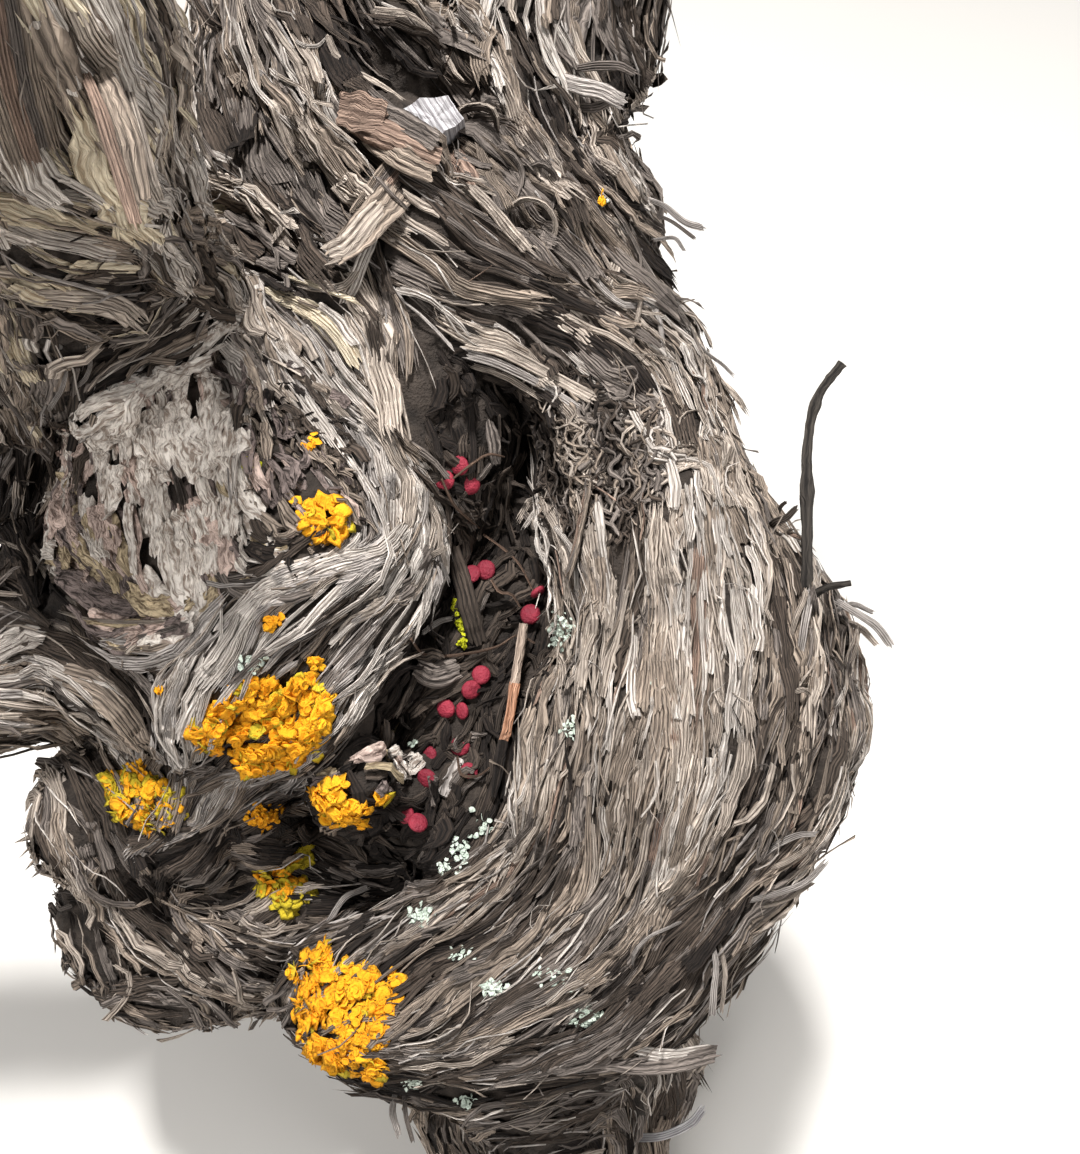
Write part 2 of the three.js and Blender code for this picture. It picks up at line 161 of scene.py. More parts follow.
@dataclass
class Nodes:
    """Adds nodes to one tree and links them."""

    tree: bpy.types.NodeTree

    def put(self, socket: bpy.types.NodeSocket, value: object) -> None:
        """Give an input its number or colour, or link an output to it.

        Args:
            socket: The input.
            value: The number, colour or output.
        """
        if isinstance(value, bpy.types.NodeSocket):
            self.tree.links.new(value, socket)
        else:
            socket.default_value = value

    def feed(self, node: bpy.types.Node, **values: object) -> None:
        """Fill a node's inputs by name, with _ for each space."""
        for name, value in values.items():
            self.put(node.inputs[name.replace("_", " ")], value)

    def new(self, kind: str, **settings: object) -> bpy.types.Node:
        """Add a node.

        Args:
            kind: The node's type name.
            **settings: Values for the node's own properties.

        Returns:
            The node.
        """
        node = self.tree.nodes.new(kind)
        for name, value in settings.items():
            setattr(node, name, value)
        return node

    def math(self, operation: str, *values: object) -> bpy.types.NodeSocket:
        """Add a maths node.

        Args:
            operation: Its operation, such as MULTIPLY.
            *values: Its inputs in order, numbers or outputs.

        Returns:
            Its output.
        """
        node = self.new("ShaderNodeMath", operation=operation)
        for socket, value in zip(node.inputs, values):
            self.put(socket, value)
        return node.outputs[0]

    def mix(self, share: object, low: object, high: object) -> bpy.types.NodeSocket:
        """Mix two colours.

        Args:
            share: How much of the second colour.
            low: The first colour.
            high: The second colour.

        Returns:
            The mixed colour.
        """
        node = self.new("ShaderNodeMix", data_type="RGBA")
        colours = [socket for socket in node.inputs if socket.type == "RGBA"]
        for socket, value in zip([node.inputs[0], *colours], [share, low, high]):
            self.put(socket, value)
        return [socket for socket in node.outputs if socket.type == "RGBA"][0]

    def noise(self, place: bpy.types.NodeSocket, scale: float, detail: float) -> bpy.types.NodeSocket:
        """Add noise.

        Args:
            place: Where it is looked up.
            scale: How fine it is.
            detail: Its octaves.

        Returns:
            Its value.
        """
        node = self.new("ShaderNodeTexNoise")
        self.feed(node, Vector=place, Scale=scale, Detail=detail, Roughness=0.6)
        return node.outputs["Fac"]

    def place(
        self, run: bpy.types.NodeSocket, along: float, ridge: bpy.types.NodeSocket, across: float
    ) -> bpy.types.NodeSocket:
        """Join two coordinates into one place.

        Args:
            run: The coordinate along a strip.
            along: Its scale.
            ridge: The coordinate across it.
            across: Its scale.

        Returns:
            The place.
        """
        join = self.new("ShaderNodeCombineXYZ")
        self.feed(join, X=self.math("MULTIPLY", run, along), Y=self.math("MULTIPLY", ridge, across))
        return join.outputs[0]

    def spread(self, value: bpy.types.NodeSocket, low: float, high: float) -> bpy.types.NodeSocket:
        """Stretch a range over 0 to 1, held at both ends.

        Args:
            value: What is stretched.
            low: What becomes 0.
            high: What becomes 1.

        Returns:
            The stretched value.
        """
        node = self.new("ShaderNodeMapRange")
        self.feed(node, Value=value, From_Min=low, From_Max=high)
        return node.outputs["Result"]


@dataclass(frozen=True)
class GrainScale:
    """How fine a strip's grain is.

    Each layer of noise has its scale along the strip, its scale across it and its detail. The sway
    says how the fibres wander. Crest says how much the painted light on the ridges and the painted
    shade in the grooves count, and flecks how much the layers count.
    """

    layers: tuple[tuple[float, float, float], ...]
    sway: tuple[float, float]
    crest: float
    flecks: tuple[float, float]
    range: tuple[float, float]


class StripGrain(Enum):
    """The kinds of grain that a strip of bark can have."""

    FIBRES = GrainScale(
        ((60, 1.3, 2), (90, 3.9, 2), (260, 8, 1)), (260, 1.1), 0.42, (0.25, 0.5), (0.32, 0.94)
    )
    CRUST = GrainScale(
        ((210, 0.8, 4), (420, 2, 4), (900, 5, 3)), (300, 2.4), 0.08, (0.5, 0.5), (0.33, 0.68)
    )


class Effects:
    """Shader node groups that several finishes share, each built once."""

    @staticmethod
    def group(name: str, *outputs: str) -> tuple[Nodes, bpy.types.Node]:
        """Start a node group.

        Args:
            name: The group's name.
            *outputs: Names of its value outputs.

        Returns:
            A helper for its nodes, and its output node.
        """
        tree = bpy.data.node_groups.new(name, "ShaderNodeTree")
        for output in outputs:
            tree.interface.new_socket(output, in_out="OUTPUT", socket_type="NodeSocketFloat")
        nodes = Nodes(tree)
        return nodes, nodes.new("NodeGroupOutput")

    @staticmethod
    @cache
    def grain(kind: StripGrain) -> bpy.types.NodeTree:
        """Build a strip's grain from its texture places, metres along and ridges across.

        Args:
            kind: Which grain.

        Returns:
            A group with outputs Light, Height and Stain; Light holds the grain's flecks together with the
            painted light on the ridges and the painted shade in the grooves.
        """
        scale = kind.value
        nodes, out = Effects.group(kind.name, "Light", "Height", "Stain")
        split = nodes.new("ShaderNodeSeparateXYZ")
        nodes.put(split.inputs[0], nodes.new("ShaderNodeUVMap", uv_map="along").outputs[0])
        run, ridge = split.outputs[0], split.outputs[1]
        swayed = nodes.noise(nodes.place(run, scale.sway[0], ridge, 0.25), 1, 1)
        over = nodes.math("MULTIPLY_ADD", nodes.math("SUBTRACT", swayed, 0.5), scale.sway[1], ridge)
        layers = [
            nodes.spread(nodes.noise(nodes.place(run, along, over, across), 1, detail), 0.33, 0.67)
            for along, across, detail in scale.layers
        ]
        # The crest wave paints every ridge column pale and every groove between them dark: painted light on
        # the crests and painted shade in the grooves.
        wave = nodes.math("SINE", nodes.math("MULTIPLY", ridge, math.pi))
        crest = nodes.math("POWER", nodes.math("ABSOLUTE", wave), 1.2)
        light = nodes.math("MULTIPLY", layers[0], scale.flecks[0])
        light = nodes.math("MULTIPLY_ADD", crest, scale.crest, light)
        light = nodes.math("MULTIPLY_ADD", layers[1], scale.flecks[1], light)
        height = nodes.math("MULTIPLY_ADD", layers[2], 0.35, layers[1])
        stain = nodes.noise(nodes.new("ShaderNodeTexCoord").outputs["Object"], 60, 5)
        light, stain = nodes.spread(light, *scale.range), nodes.spread(stain, 0.38, 0.66)
        nodes.feed(out, Light=light, Height=height, Stain=stain)
        return nodes.tree

    @staticmethod
    @cache
    def mottle() -> bpy.types.NodeTree:
        """Build mottling from places on the object in metres.

        Returns:
            A group with outputs Broad, Middle and Fine.
        """
        nodes, out = Effects.group("Mottle", "Broad", "Middle", "Fine")
        world = nodes.new("ShaderNodeTexCoord").outputs["Object"]
        broad, middle, fine = (
            nodes.spread(nodes.noise(world, scale, 3), 0.32, 0.68) for scale in (90, 380, 1500)
        )
        nodes.feed(out, Broad=broad, Middle=middle, Fine=fine)
        return nodes.tree


@dataclass(frozen=True)
class Finish:
    """What every surface has: two colours, how rough it is and how high its relief."""

    name: str
    light: tuple[int, int, int]
    dark: tuple[int, int, int]
    relief: float = 0.5 * MM
    roughness: float = 0.95
    slot: str = "bark"
    strength: float = 0.9
    specular: float = 0.25

    def surface(self, nodes: Nodes) -> tuple[bpy.types.NodeSocket, bpy.types.NodeSocket]:
        """Give the outputs for the surface's colour and for its height."""
        raise NotImplementedError

    def build(self) -> bpy.types.Material:
        """Make the material.

        Returns:
            The material.
        """
        material = bpy.data.materials.new(self.name)
        material.use_nodes = True
        nodes = Nodes(material.node_tree)
        colour, height = self.surface(nodes)
        bump = nodes.new("ShaderNodeBump")
        nodes.feed(bump, Distance=self.relief, Strength=self.strength, Height=height)
        nodes.feed(
            material.node_tree.nodes["Principled BSDF"],
            Base_Color=colour,
            Roughness=self.roughness,
            Specular_IOR_Level=self.specular,
            Normal=bump.outputs[0],
        )
        return material


@dataclass(frozen=True)
class StripFinish(Finish):
    """Bark in strips: pale crests and dark grooves that run along each strip, painted light and painted
    shade over the grain.
    """

    grain: StripGrain = StripGrain.FIBRES

    def surface(self, nodes: Nodes) -> tuple[bpy.types.NodeSocket, bpy.types.NodeSocket]:
        """Give the grain's colour, stained here and there, and its height.

        Args:
            nodes: A helper for the material's nodes.

        Returns:
            The colour and the height.
        """
        grain = nodes.new("ShaderNodeGroup", node_tree=Effects.grain(self.grain)).outputs
        colour = nodes.mix(grain["Light"], linear(*self.dark), linear(*self.light))
        shade = linear(*(round(channel * 0.55) for channel in self.light))
        return nodes.mix(nodes.math("MULTIPLY", grain["Stain"], 0.5), colour, shade), grain["Height"]


@dataclass(frozen=True)
class MottledFinish(Finish):
    """A surface with no run of its own: two colours mottled together, and fine grit."""

    relief: float = 0.4 * MM
    roughness: float = 0.9
    strength: float = 0.8
    specular: float = 0.3

    def surface(self, nodes: Nodes) -> tuple[bpy.types.NodeSocket, bpy.types.NodeSocket]:
        """Give the mottled colour and the grit's height.

        Args:
            nodes: A helper for the material's nodes.

        Returns:
            The colour and the height.
        """
        mottle = nodes.new("ShaderNodeGroup", node_tree=Effects.mottle()).outputs
        share = nodes.math("MULTIPLY_ADD", mottle["Middle"], 0.5, mottle["Broad"])
        colour = nodes.mix(nodes.math("MULTIPLY", share, 0.66), linear(*self.dark), linear(*self.light))
        return colour, nodes.math("MULTIPLY_ADD", mottle["Fine"], 0.6, mottle["Middle"])


class Tone(Enum):
    """The bark's tones, from bleached pale to near-black; the near-black is partly the hollow's dark floor
    and partly painted shade there and in the crevices.
    """

    BLEACHED = StripFinish("bark_bleached", (246, 235, 224), (92, 78, 67))
    TAN = StripFinish("bark_tan", (222, 206, 190), (66, 53, 44))
    UMBER = StripFinish("bark_umber", (184, 166, 149), (46, 37, 31))
    DUSK = StripFinish("bark_dusk", (152, 140, 131), (37, 31, 28))
    GREY = StripFinish("bark_grey", (216, 206, 198), (72, 63, 57))
    DARK = StripFinish("bark_dark", (100, 87, 77), (24, 20, 17))
    # The darkest tone: near-black bark, used in the hollow and in crevices partly as painted shade.
    SOOT = StripFinish("bark_darkest", (56, 47, 41), (15, 12, 11))
    RUDDY = StripFinish("bark_ruddy", (186, 158, 140), (70, 52, 44))
    BUFF = StripFinish("bark_buff", (255, 240, 212), (156, 136, 110))
    CHALK = StripFinish("wound_chalk", (255, 244, 232), (150, 132, 118), 0.6 * MM, grain=StripGrain.CRUST)
    ROSE = StripFinish("wound_rose", (230, 204, 190), (112, 92, 82), 0.6 * MM, grain=StripGrain.CRUST)
    OCHRE = StripFinish("wound_ochre", (220, 198, 162), (104, 86, 66), 0.6 * MM, grain=StripGrain.CRUST)
    MAUVE = StripFinish("wound_mauve", (146, 130, 124), (52, 44, 41), 0.6 * MM, grain=StripGrain.CRUST)
    SAWN = StripFinish("sawn_wood", (226, 222, 222), (132, 126, 128), 0.2 * MM)


class Plain(Enum):
    """Finishes of everything that isn't a strip of bark."""

    UNDER = MottledFinish("under_bark", (70, 61, 54), (26, 22, 19), relief=0.6 * MM)
    LOBE = MottledFinish("lichen_lobe", (244, 180, 34), (218, 140, 16), slot="lichen")
    OLIVE = MottledFinish("lichen_olive", (216, 188, 48), (156, 140, 28), slot="lichen")
    CUP = MottledFinish("lichen_cup", (240, 172, 28), (212, 132, 16), slot="lichen")
    FROST = MottledFinish("lichen_frost", (214, 222, 208), (160, 172, 158), slot="lichen")
    MOSS = MottledFinish("lichen_moss", (206, 204, 36), (146, 150, 24), slot="lichen")
    FRUIT = MottledFinish("fruit_skin", (154, 46, 62), (104, 26, 40), roughness=0.6, slot="fruit")
    STRAW = StripFinish("stalk_straw", (206, 184, 166), (120, 104, 92), slot="cane")
    STEM = StripFinish("stalk_skin", (226, 172, 140), (140, 92, 64), slot="cane")
    DEAD = StripFinish("dead_skin", (74, 68, 62), (30, 27, 25), slot="dead_cane")
    TENDRIL = StripFinish("tendril_skin", (140, 114, 96), (78, 60, 50), slot="cane")
    CANE = StripFinish("cane_skin", (134, 102, 80), (76, 54, 41), slot="cane")


@cache
def material_of(finish: Tone | Plain) -> bpy.types.Material:
    """Give a finish's material, made the first time that it is asked for."""
    return finish.value.build()


@dataclass
class Batch:
    """Many small closed shapes gathered into one mesh, with a finish for each face."""

    name: str
    rounded: bool = True
    verts: list[np.ndarray] = field(default_factory=list)
    places: list[np.ndarray] = field(default_factory=list)
    faces: dict[int, list[np.ndarray]] = field(default_factory=dict)
    looks: dict[int, list[np.ndarray]] = field(default_factory=dict)
    finishes: list[Tone | Plain] = field(default_factory=list)
    count: int = 0

    def look(self, *finishes: Tone | Plain) -> np.ndarray:
        """Give the slot numbers of finishes on this mesh."""
        self.finishes.extend(finish for finish in dict.fromkeys(finishes) if finish not in self.finishes)
        return np.array([self.finishes.index(finish) for finish in finishes])

    def add(self, verts: np.ndarray, places: np.ndarray, faces: list[np.ndarray], looks: np.ndarray) -> None:
        """Add shapes that share one list of faces.

        Args:
            verts: Shapes by vertices by 3.
            places: Shapes by vertices by 2, the texture places.
            faces: Arrays of faces, one for each number of corners, numbered within a shape.
            looks: The slot number of each shape.
        """
        shapes, size = verts.shape[:2]
        starts = self.count + size * np.arange(shapes)
        self.verts.append(verts.reshape(-1, 3))
        self.places.append(places.reshape(-1, 2))
        for part in faces:
            corners = part.shape[1]
            made = (starts[:, None, None] + part[None]).reshape(-1, corners)
            self.faces.setdefault(corners, []).append(made)
            self.looks.setdefault(corners, []).append(np.repeat(looks, len(part)))
        self.count += shapes * size

    def build(self, *replaced: str) -> None:
        """Make the object and hang it on the vine's body.

        Args:
            *replaced: The solids that it stands for.
        """
        groups = sorted(self.faces)
        loops = np.concatenate([np.concatenate(self.faces[c]).ravel() for c in groups])
        sizes = np.concatenate([np.full(sum(map(len, self.faces[c])), c) for c in groups])
        looks = np.concatenate([np.concatenate(self.looks[c]) for c in groups])
        mesh = bpy.data.meshes.new(self.name)
        mesh.vertices.add(self.count)
        mesh.vertices.foreach_set("co", np.concatenate(self.verts).astype(np.float32).ravel())
        mesh.loops.add(len(loops))
        mesh.loops.foreach_set("vertex_index", loops.astype(np.int32))
        mesh.polygons.add(len(sizes))
        mesh.polygons.foreach_set("loop_start", (np.cumsum(sizes) - sizes).astype(np.int32))
        mesh.polygons.foreach_set("material_index", looks.astype(np.int32))
        mesh.polygons.foreach_set("use_smooth", np.full(len(sizes), self.rounded))
        mesh.update(calc_edges=True)
        layer = mesh.uv_layers.new(name="along")
        layer.data.foreach_set("uv", np.concatenate(self.places)[loops].astype(np.float32).ravel())
        for finish in self.finishes:
            mesh.materials.append(material_of(finish))
        made = bpy.data.objects.new(self.name, mesh)
        bpy.context.scene.collection.objects.link(made)
        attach(made, BODY)
        if replaced:
            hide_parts(*replaced)
        log.info("%s: %d vertices, %d triangles", self.name, self.count, (sizes - 2).sum())


def tube_faces(rings: int, sides: int) -> list[np.ndarray]:
    """Give the faces of a closed tube made of rings, with a flat cap at each end.

    Args:
        rings: How many rings.
        sides: Points in each ring.

    Returns:
        The quads along the tube, and its two caps.
    """
    ring = np.arange(rings - 1)[:, None] * sides
    side = np.arange(sides)[None]
    after = (side + 1) % sides
    quads = np.stack([ring + side, ring + after, ring + sides + after, ring + sides + side], axis=-1)
    caps = np.stack([np.arange(sides)[::-1], (rings - 1) * sides + np.arange(sides)])
    return [quads.reshape(-1, 4), caps]


def fan_faces(sides: int, rings: int) -> list[np.ndarray]:
    """Give the faces of a closed dish: rings from its foot to its middle, and a point at either end.

    Args:
        sides: Points in each ring.
        rings: How many rings.

    Returns:
        The quads between rings, and the triangles at the foot point and the middle point.
    """
    row = np.arange(sides)
    step = (row + 1) % sides
    low = np.stack([np.full(sides, rings * sides), step, row], axis=-1)
    last = (rings - 1) * sides
    high = np.stack([last + row, last + step, np.full(sides, rings * sides + 1)], axis=-1)
    return [tube_faces(rings, sides)[0], np.concatenate([low, high])]


def on_head(*places: tuple[float, float, float]) -> np.ndarray:
    """Give the places that lie so many millimetres right, up and out of the head's middle."""
    axes = np.array([VIEW.right, VIEW.up, VIEW.out])
    return np.array(VIEW.head) + sum(np.array(places)[:, k, None] * axes[k] for k in range(3)) * MM


def node_verts(name: str) -> np.ndarray:
    """Read the corners of a solid.

    Args:
        name: The solid.

    Returns:
        The corners, one to a row.
    """
    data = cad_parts[name].data
    verts = np.empty(len(data.vertices) * 3)
    data.vertices.foreach_get("co", verts)
    return verts.reshape(-1, 3)


def triangles_of(data: bpy.types.Mesh) -> np.ndarray:
    """Read the triangles of a mesh.

    Args:
        data: The mesh.

    Returns:
        The numbers of their corners, one triangle to a row.
    """
    data.calc_loop_triangles()
    corners = np.empty(len(data.loop_triangles) * 3, dtype=np.int64)
    data.loop_triangles.foreach_get("vertices", corners)
    return corners.reshape(-1, 3)


def node_faces(name: str) -> np.ndarray:
    """Give the triangles of a solid, one to a row."""
    return triangles_of(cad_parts[name].data)


def middle_line(verts: np.ndarray, slices: int) -> tuple[np.ndarray, np.ndarray]:
    """Find the middle of a long solid by slicing it across its longest way.

    Args:
        verts: The solid's corners.
        slices: How many slices.

    Returns:
        Places along the middle and the solid's radius at each.
    """
    middle = verts.mean(axis=0)
    _, _, axes = np.linalg.svd(verts - middle, full_matrices=False)
    along = (verts - middle) @ axes[0]
    edges = np.linspace(along.min(), along.max(), slices + 1)
    which = np.clip(np.digitize(along, edges) - 1, 0, slices - 1)
    parts = [verts[which == k] for k in range(slices) if np.any(which == k)]
    places = np.array([part.mean(axis=0) for part in parts])
    radii = [np.linalg.norm(part - place, axis=1).mean() for part, place in zip(parts, places)]
    return places, np.array(radii)


def smooth_path(places: np.ndarray, count: int) -> np.ndarray:
    """Run a smooth curve through places.

    Args:
        places: The places, one to a row.
        count: How many points to give.

    Returns:
        Points along the curve.
    """
    ends = np.vstack([2 * places[0] - places[1], places, 2 * places[-1] - places[-2]])
    t = np.linspace(0, len(places) - 1 - 1e-9, count)
    whole = t.astype(int)
    u = (t - whole)[:, None]
    a, b, c, d = (ends[whole + k] for k in range(4))
    return 0.5 * (2 * b + (c - a) * u + (2 * a - 5 * b + 4 * c - d) * u**2 + (3 * b - a - 3 * c + d) * u**3)


def path_length(path: np.ndarray) -> np.ndarray:
    """Give the length of each path, with its points along the last axis but one."""
    return np.linalg.norm(np.diff(path, axis=-2), axis=-1).sum(axis=-1)


def spread_axes(normals: np.ndarray, angles: np.ndarray) -> tuple[np.ndarray, np.ndarray]:
    """Give two directions that lie flat under each normal.

    Args:
        normals: The normals, one to a row.
        angles: How far each pair is turned.

    Returns:
        The direction to the side and the one ahead, for each normal.
    """
    helper = np.where(np.abs(normals[:, 2:]) < 0.9, [[0.0, 0.0, 1.0]], [[1.0, 0.0, 0.0]])
    first = unit(np.cross(helper, normals))
    second = np.cross(normals, first)
    cos, sin = np.cos(angles)[:, None], np.sin(angles)[:, None]
    return first * cos + second * sin, second * cos - first * sin


# Where the grain runs which way: x and y in the photograph's frame, and degrees above its right
GRAIN_STROKES = (
    # The left-hand arm behind, which comes down from the top left
    (240, 60, -80), (300, 50, -58), (340, 120, -52), (300, 170, -62), (345, 200, -62), (380, 120, -35),
    (410, 140, -30), (270, 230, -50), (310, 260, -45),
    # The right-hand arm behind
    (420, 30, -45), (470, 70, -55), (500, 110, -62), (540, 60, -60), (600, 40, -72), (560, 130, -58),
    (600, 180, -55), (640, 230, -50), (620, 110, -40), (655, 290, -55),
    # Crossing fibres over the top of the hollow
    (430, 215, -25), (450, 260, -30), (520, 270, -25), (560, 300, -30), (600, 340, -38), (640, 330, -38),
    (500, 340, -22), (540, 370, -38), (600, 375, -42), (670, 370, -60),
    # The shoulder on the right, straight down
    (730, 380, -58), (680, 410, -80), (640, 470, -88), (700, 500, -86), (750, 480, -72), (560, 530, -68),
    (600, 560, -90), (650, 600, -90), (700, 600, -88), (750, 590, -85), (800, 600, -80), (840, 640, -84),
    (600, 680, -92), (660, 700, -97), (720, 720, -100), (780, 740, -104), (830, 720, -98), (560, 690, -96),
    (520, 740, -100),
    # Then round to the lower left
    (600, 800, -106), (650, 820, -108), (700, 820, -110), (760, 820, -118), (820, 790, -112),
    (480, 830, -122), (540, 850, -125), (600, 880, -116), (660, 880, -118), (720, 880, -126),
    (780, 870, -140), (420, 910, -145), (480, 920, -140), (540, 930, -135), (600, 940, -130),
    (660, 940, -130), (720, 950, -122), (400, 960, -150), (460, 980, -150), (520, 990, -146),
    (580, 1000, -145), (640, 1000, -142), (700, 1000, -128), (380, 1030, -165), (450, 1040, -165),
    (520, 1050, -165), (600, 1045, -160), (660, 1050, -150), (340, 930, -158), (320, 970, -150),
    (330, 1080, -195), (430, 1085, 178),
    # The trunk below, whose fibres cross the view
    (430, 1125, 172), (500, 1115, -178), (560, 1120, -165), (610, 1130, -140),
    # Round the knob
    (330, 345, -64), (300, 370, -72), (370, 385, -64), (340, 410, -38), (390, 450, -72), (425, 500, -86),
    (432, 555, -104), (415, 610, -118), (385, 660, -126), (350, 710, -130), (310, 755, -136),
    (250, 785, -150), (370, 560, -145), (320, 580, -155), (270, 570, -165), (350, 640, -132),
    (290, 650, -138), (230, 650, -115), (180, 700, -112), (150, 640, 5), (250, 340, -50), (180, 340, 35),
    (110, 375, 30), (50, 400, -105), (30, 460, -95), (60, 470, -85), (50, 545, -62), (90, 600, -42),
    (150, 610, 4), (400, 390, -80),
    # The sawn face
    (80, 470, -78), (150, 450, -75), (200, 460, -80), (120, 550, -80), (200, 550, -74), (120, 395, -80),
    (180, 400, -78), (235, 430, -82), (100, 520, -80), (160, 505, -78), (225, 510, -76), (150, 590, -80),
    (100, 430, -80), (75, 545, -72), (240, 480, -80),
    # The arm on the left and what hangs under the knob
    (10, 680, 28), (50, 655, 4), (90, 670, -30), (118, 705, -62), (40, 715, -8), (90, 735, -28),
    (100, 780, -62), (150, 760, -60), (200, 770, -112), (85, 830, -75), (140, 900, -52), (90, 950, -78),
    (200, 940, -45), (250, 970, -38), (240, 1010, -28),
    # The near arm
    (120, 60, -62), (150, 150, -70), (60, 250, -18), (60, 180, -12), (100, 300, 10),
)


def off_line(seen: np.ndarray, start: tuple[float, float], end: tuple[float, float]) -> np.ndarray:
    """Give how far places of the frame lie from a straight line between two others.

    Args:
        seen: The places, one to a row.
        start: Where the line starts.
        end: Where it ends.

    Returns:
        The distances.
    """
    a, b = np.array(start, dtype=float), np.array(end, dtype=float)
    along = np.clip((seen - a) @ (b - a) / ((b - a) @ (b - a)), 0, 1)
    return np.linalg.norm(seen - a - along[:, None] * (b - a), axis=1)


def off_lines(seen: np.ndarray, places: Line) -> np.ndarray:
    """Give how far places of the frame lie from a line through several others."""
    return np.min([off_line(seen, a, b) for a, b in zip(places, places[1:])], axis=0)


def inside(seen: np.ndarray, outline: Line, soft: float) -> np.ndarray:
    """Weigh places of the frame by whether an outline holds them.

    Args:
        seen: The places, one to a row.
        outline: The outline's corners.
        soft: How wide the edge is over which the weight falls.

    Returns:
        A weight from 0 to 1 for each place.
    """
    ring = (*outline, outline[0])
    x, y = seen.T
    held = np.zeros(len(seen), dtype=bool)
    for (ax, ay), (bx, by) in zip(ring, ring[1:]):
        if ay != by:
            held ^= ((ay > y) != (by > y)) & (x < ax + (y - ay) * (bx - ax) / (by - ay))
    away = off_lines(seen, ring)
    return np.clip(0.5 + np.where(held, away, -away) / soft, 0, 1)


HOLLOW = (
    (421, 360), (413, 393), (435, 432), (438, 505), (445, 571), (424, 604), (397, 660), (365, 720),
    (330, 790), (335, 815), (380, 850), (440, 880), (470, 850), (490, 815), (505, 780), (525, 715),
    (540, 690), (550, 640), (556, 600), (545, 545), (520, 500), (540, 478), (560, 478), (530, 440),
    (545, 410), (540, 385), (515, 370), (480, 350), (450, 330), (425, 335),
)
SCAR = (
    (403, 110), (412, 103), (420, 98), (434, 97), (448, 96), (454, 104), (459, 112), (464, 118), (455, 125),
    (445, 131), (438, 138), (431, 144), (425, 136), (418, 128), (411, 119),
)


@dataclass(frozen=True)
class Fold:
    """A rope of bark that stands up, or a crevice where its height is below nothing.

    Width and places are in the photograph's frame, and the height is in millimetres.
    """

    width: float
    height: float
    places: Line

    def nearness(self, seen: np.ndarray, reach: float = 1.0) -> np.ndarray:
        """Give one on the fold's line, falling to nothing beyond its width times the reach."""
        return np.exp(-((off_lines(seen, self.places) / (self.width * reach)) ** 2))


# Each fold's width and height, then the x and y of its places
FOLD_ROWS = (
    # Ropes of the arm that comes down from the top left
    (13, 3.0, 278, 0, 296, 55, 318, 98), (11, 3.5, 328, 0, 336, 45, 362, 92, 385, 104),
    (12, 3.0, 275, 92, 305, 130, 345, 172, 378, 205), (17, 4.5, 345, 108, 385, 128, 432, 162),
    (11, 2.5, 240, 185, 285, 203, 312, 236, 332, 252),
    # Ropes of the arm behind on the right
    (16, 3.5, 398, 5, 440, 38, 475, 80, 500, 118), (8, 2.0, 505, 62, 520, 105, 540, 135),
    (15, 3.0, 470, 345, 515, 362, 560, 392), (9, 2.0, 405, 280, 450, 288, 495, 300),
    (7, 1.8, 590, 262, 612, 292, 650, 306, 680, 290),
    # Round the knob and along its rim
    (14, 2.5, 285, 345, 315, 380, 370, 412, 410, 442), (9, 2.0, 430, 455, 440, 510, 425, 580, 405, 640),
    (6, 2.0, 15, 545, 60, 590, 100, 615), (5, 1.5, 60, 560, 88, 600, 110, 625, 160, 632, 200, 618),
    (5, 2.0, 60, 360, 60, 388, 45, 440, 20, 480, 12, 520), (8, 2.0, 0, 665, 50, 655, 95, 668, 120, 705),
    (7, 1.5, 0, 705, 40, 712, 80, 728),
    # The lip of the hollow and strands of the shoulder
    (10, 3.5, 528, 508, 560, 535, 572, 570, 576, 610), (5, 2.0, 712, 430, 706, 480, 716, 530),
    # Crevices among the arms
    (18, -9.0, 345, 10, 372, 50, 398, 80, 440, 88, 476, 92), (12, -6.0, 245, 70, 256, 105, 262, 140),
    (6, -4.0, 298, 84, 328, 122, 352, 150), (6, -5.0, 314, 172, 321, 210, 334, 240),
    (11, -6.0, 205, 202, 240, 206, 282, 222, 300, 245), (10, -5.0, 205, 25, 228, 32),
    (8, -6.0, 372, 245, 382, 290, 388, 330), (10, -5.0, 446, 140, 450, 175),
    (9, -4.0, 210, 250, 250, 268, 290, 285), (11, -5.0, 448, 128, 480, 128, 508, 120),
    (8, -5.0, 512, 162, 533, 188), (6, -4.0, 554, 172, 558, 198), (11, -6.0, 518, 222, 545, 230),
    (10, -5.0, 575, 115, 592, 150, 606, 135), (7, -5.0, 632, 200, 655, 222, 668, 242),
    (6, -3.0, 500, 308, 520, 322), (6, -3.0, 565, 345, 600, 382, 640, 398),
    # Crevices round the knob
    (8, -5.0, 200, 355, 222, 385, 230, 418), (10, -4.0, 258, 345, 264, 400, 286, 440),
    (8, -4.0, 150, 362, 85, 395, 45, 465, 34, 530),
    (10, -7.0, 6, 522, 35, 560, 55, 600, 75, 640, 105, 668, 128, 700, 140, 738),
    (4, -2.5, 250, 566, 300, 548, 318, 538), (5, -3.0, 150, 462, 188, 478),
    (4, -2.5, 100, 478, 112, 520, 120, 590),
    # Crevices of the shoulder and under the rim
    (8, -3.0, 622, 446, 660, 466, 682, 466), (6, -3.0, 556, 480, 604, 494), (6, -4.0, 704, 398, 706, 442),
    (6, -4.0, 714, 468, 736, 502), (5, -5.0, 747, 684, 748, 738), (6, -3.0, 792, 636, 797, 692),
    (4, -3.0, 826, 738, 812, 776), (7, -5.0, 400, 1096, 500, 1088, 600, 1076, 690, 1060),
    # The dark under the knob
    (18, -6.0, 305, 805, 350, 835, 415, 845, 440, 815), (16, -5.0, 310, 875, 360, 892, 420, 880),
    (22, -7.0, 225, 840, 240, 890), (10, -4.0, 160, 920, 182, 962),
)
FOLDS = tuple(
    Fold(width, height, tuple(zip(flat[::2], flat[1::2]))) for width, height, *flat in FOLD_ROWS
)


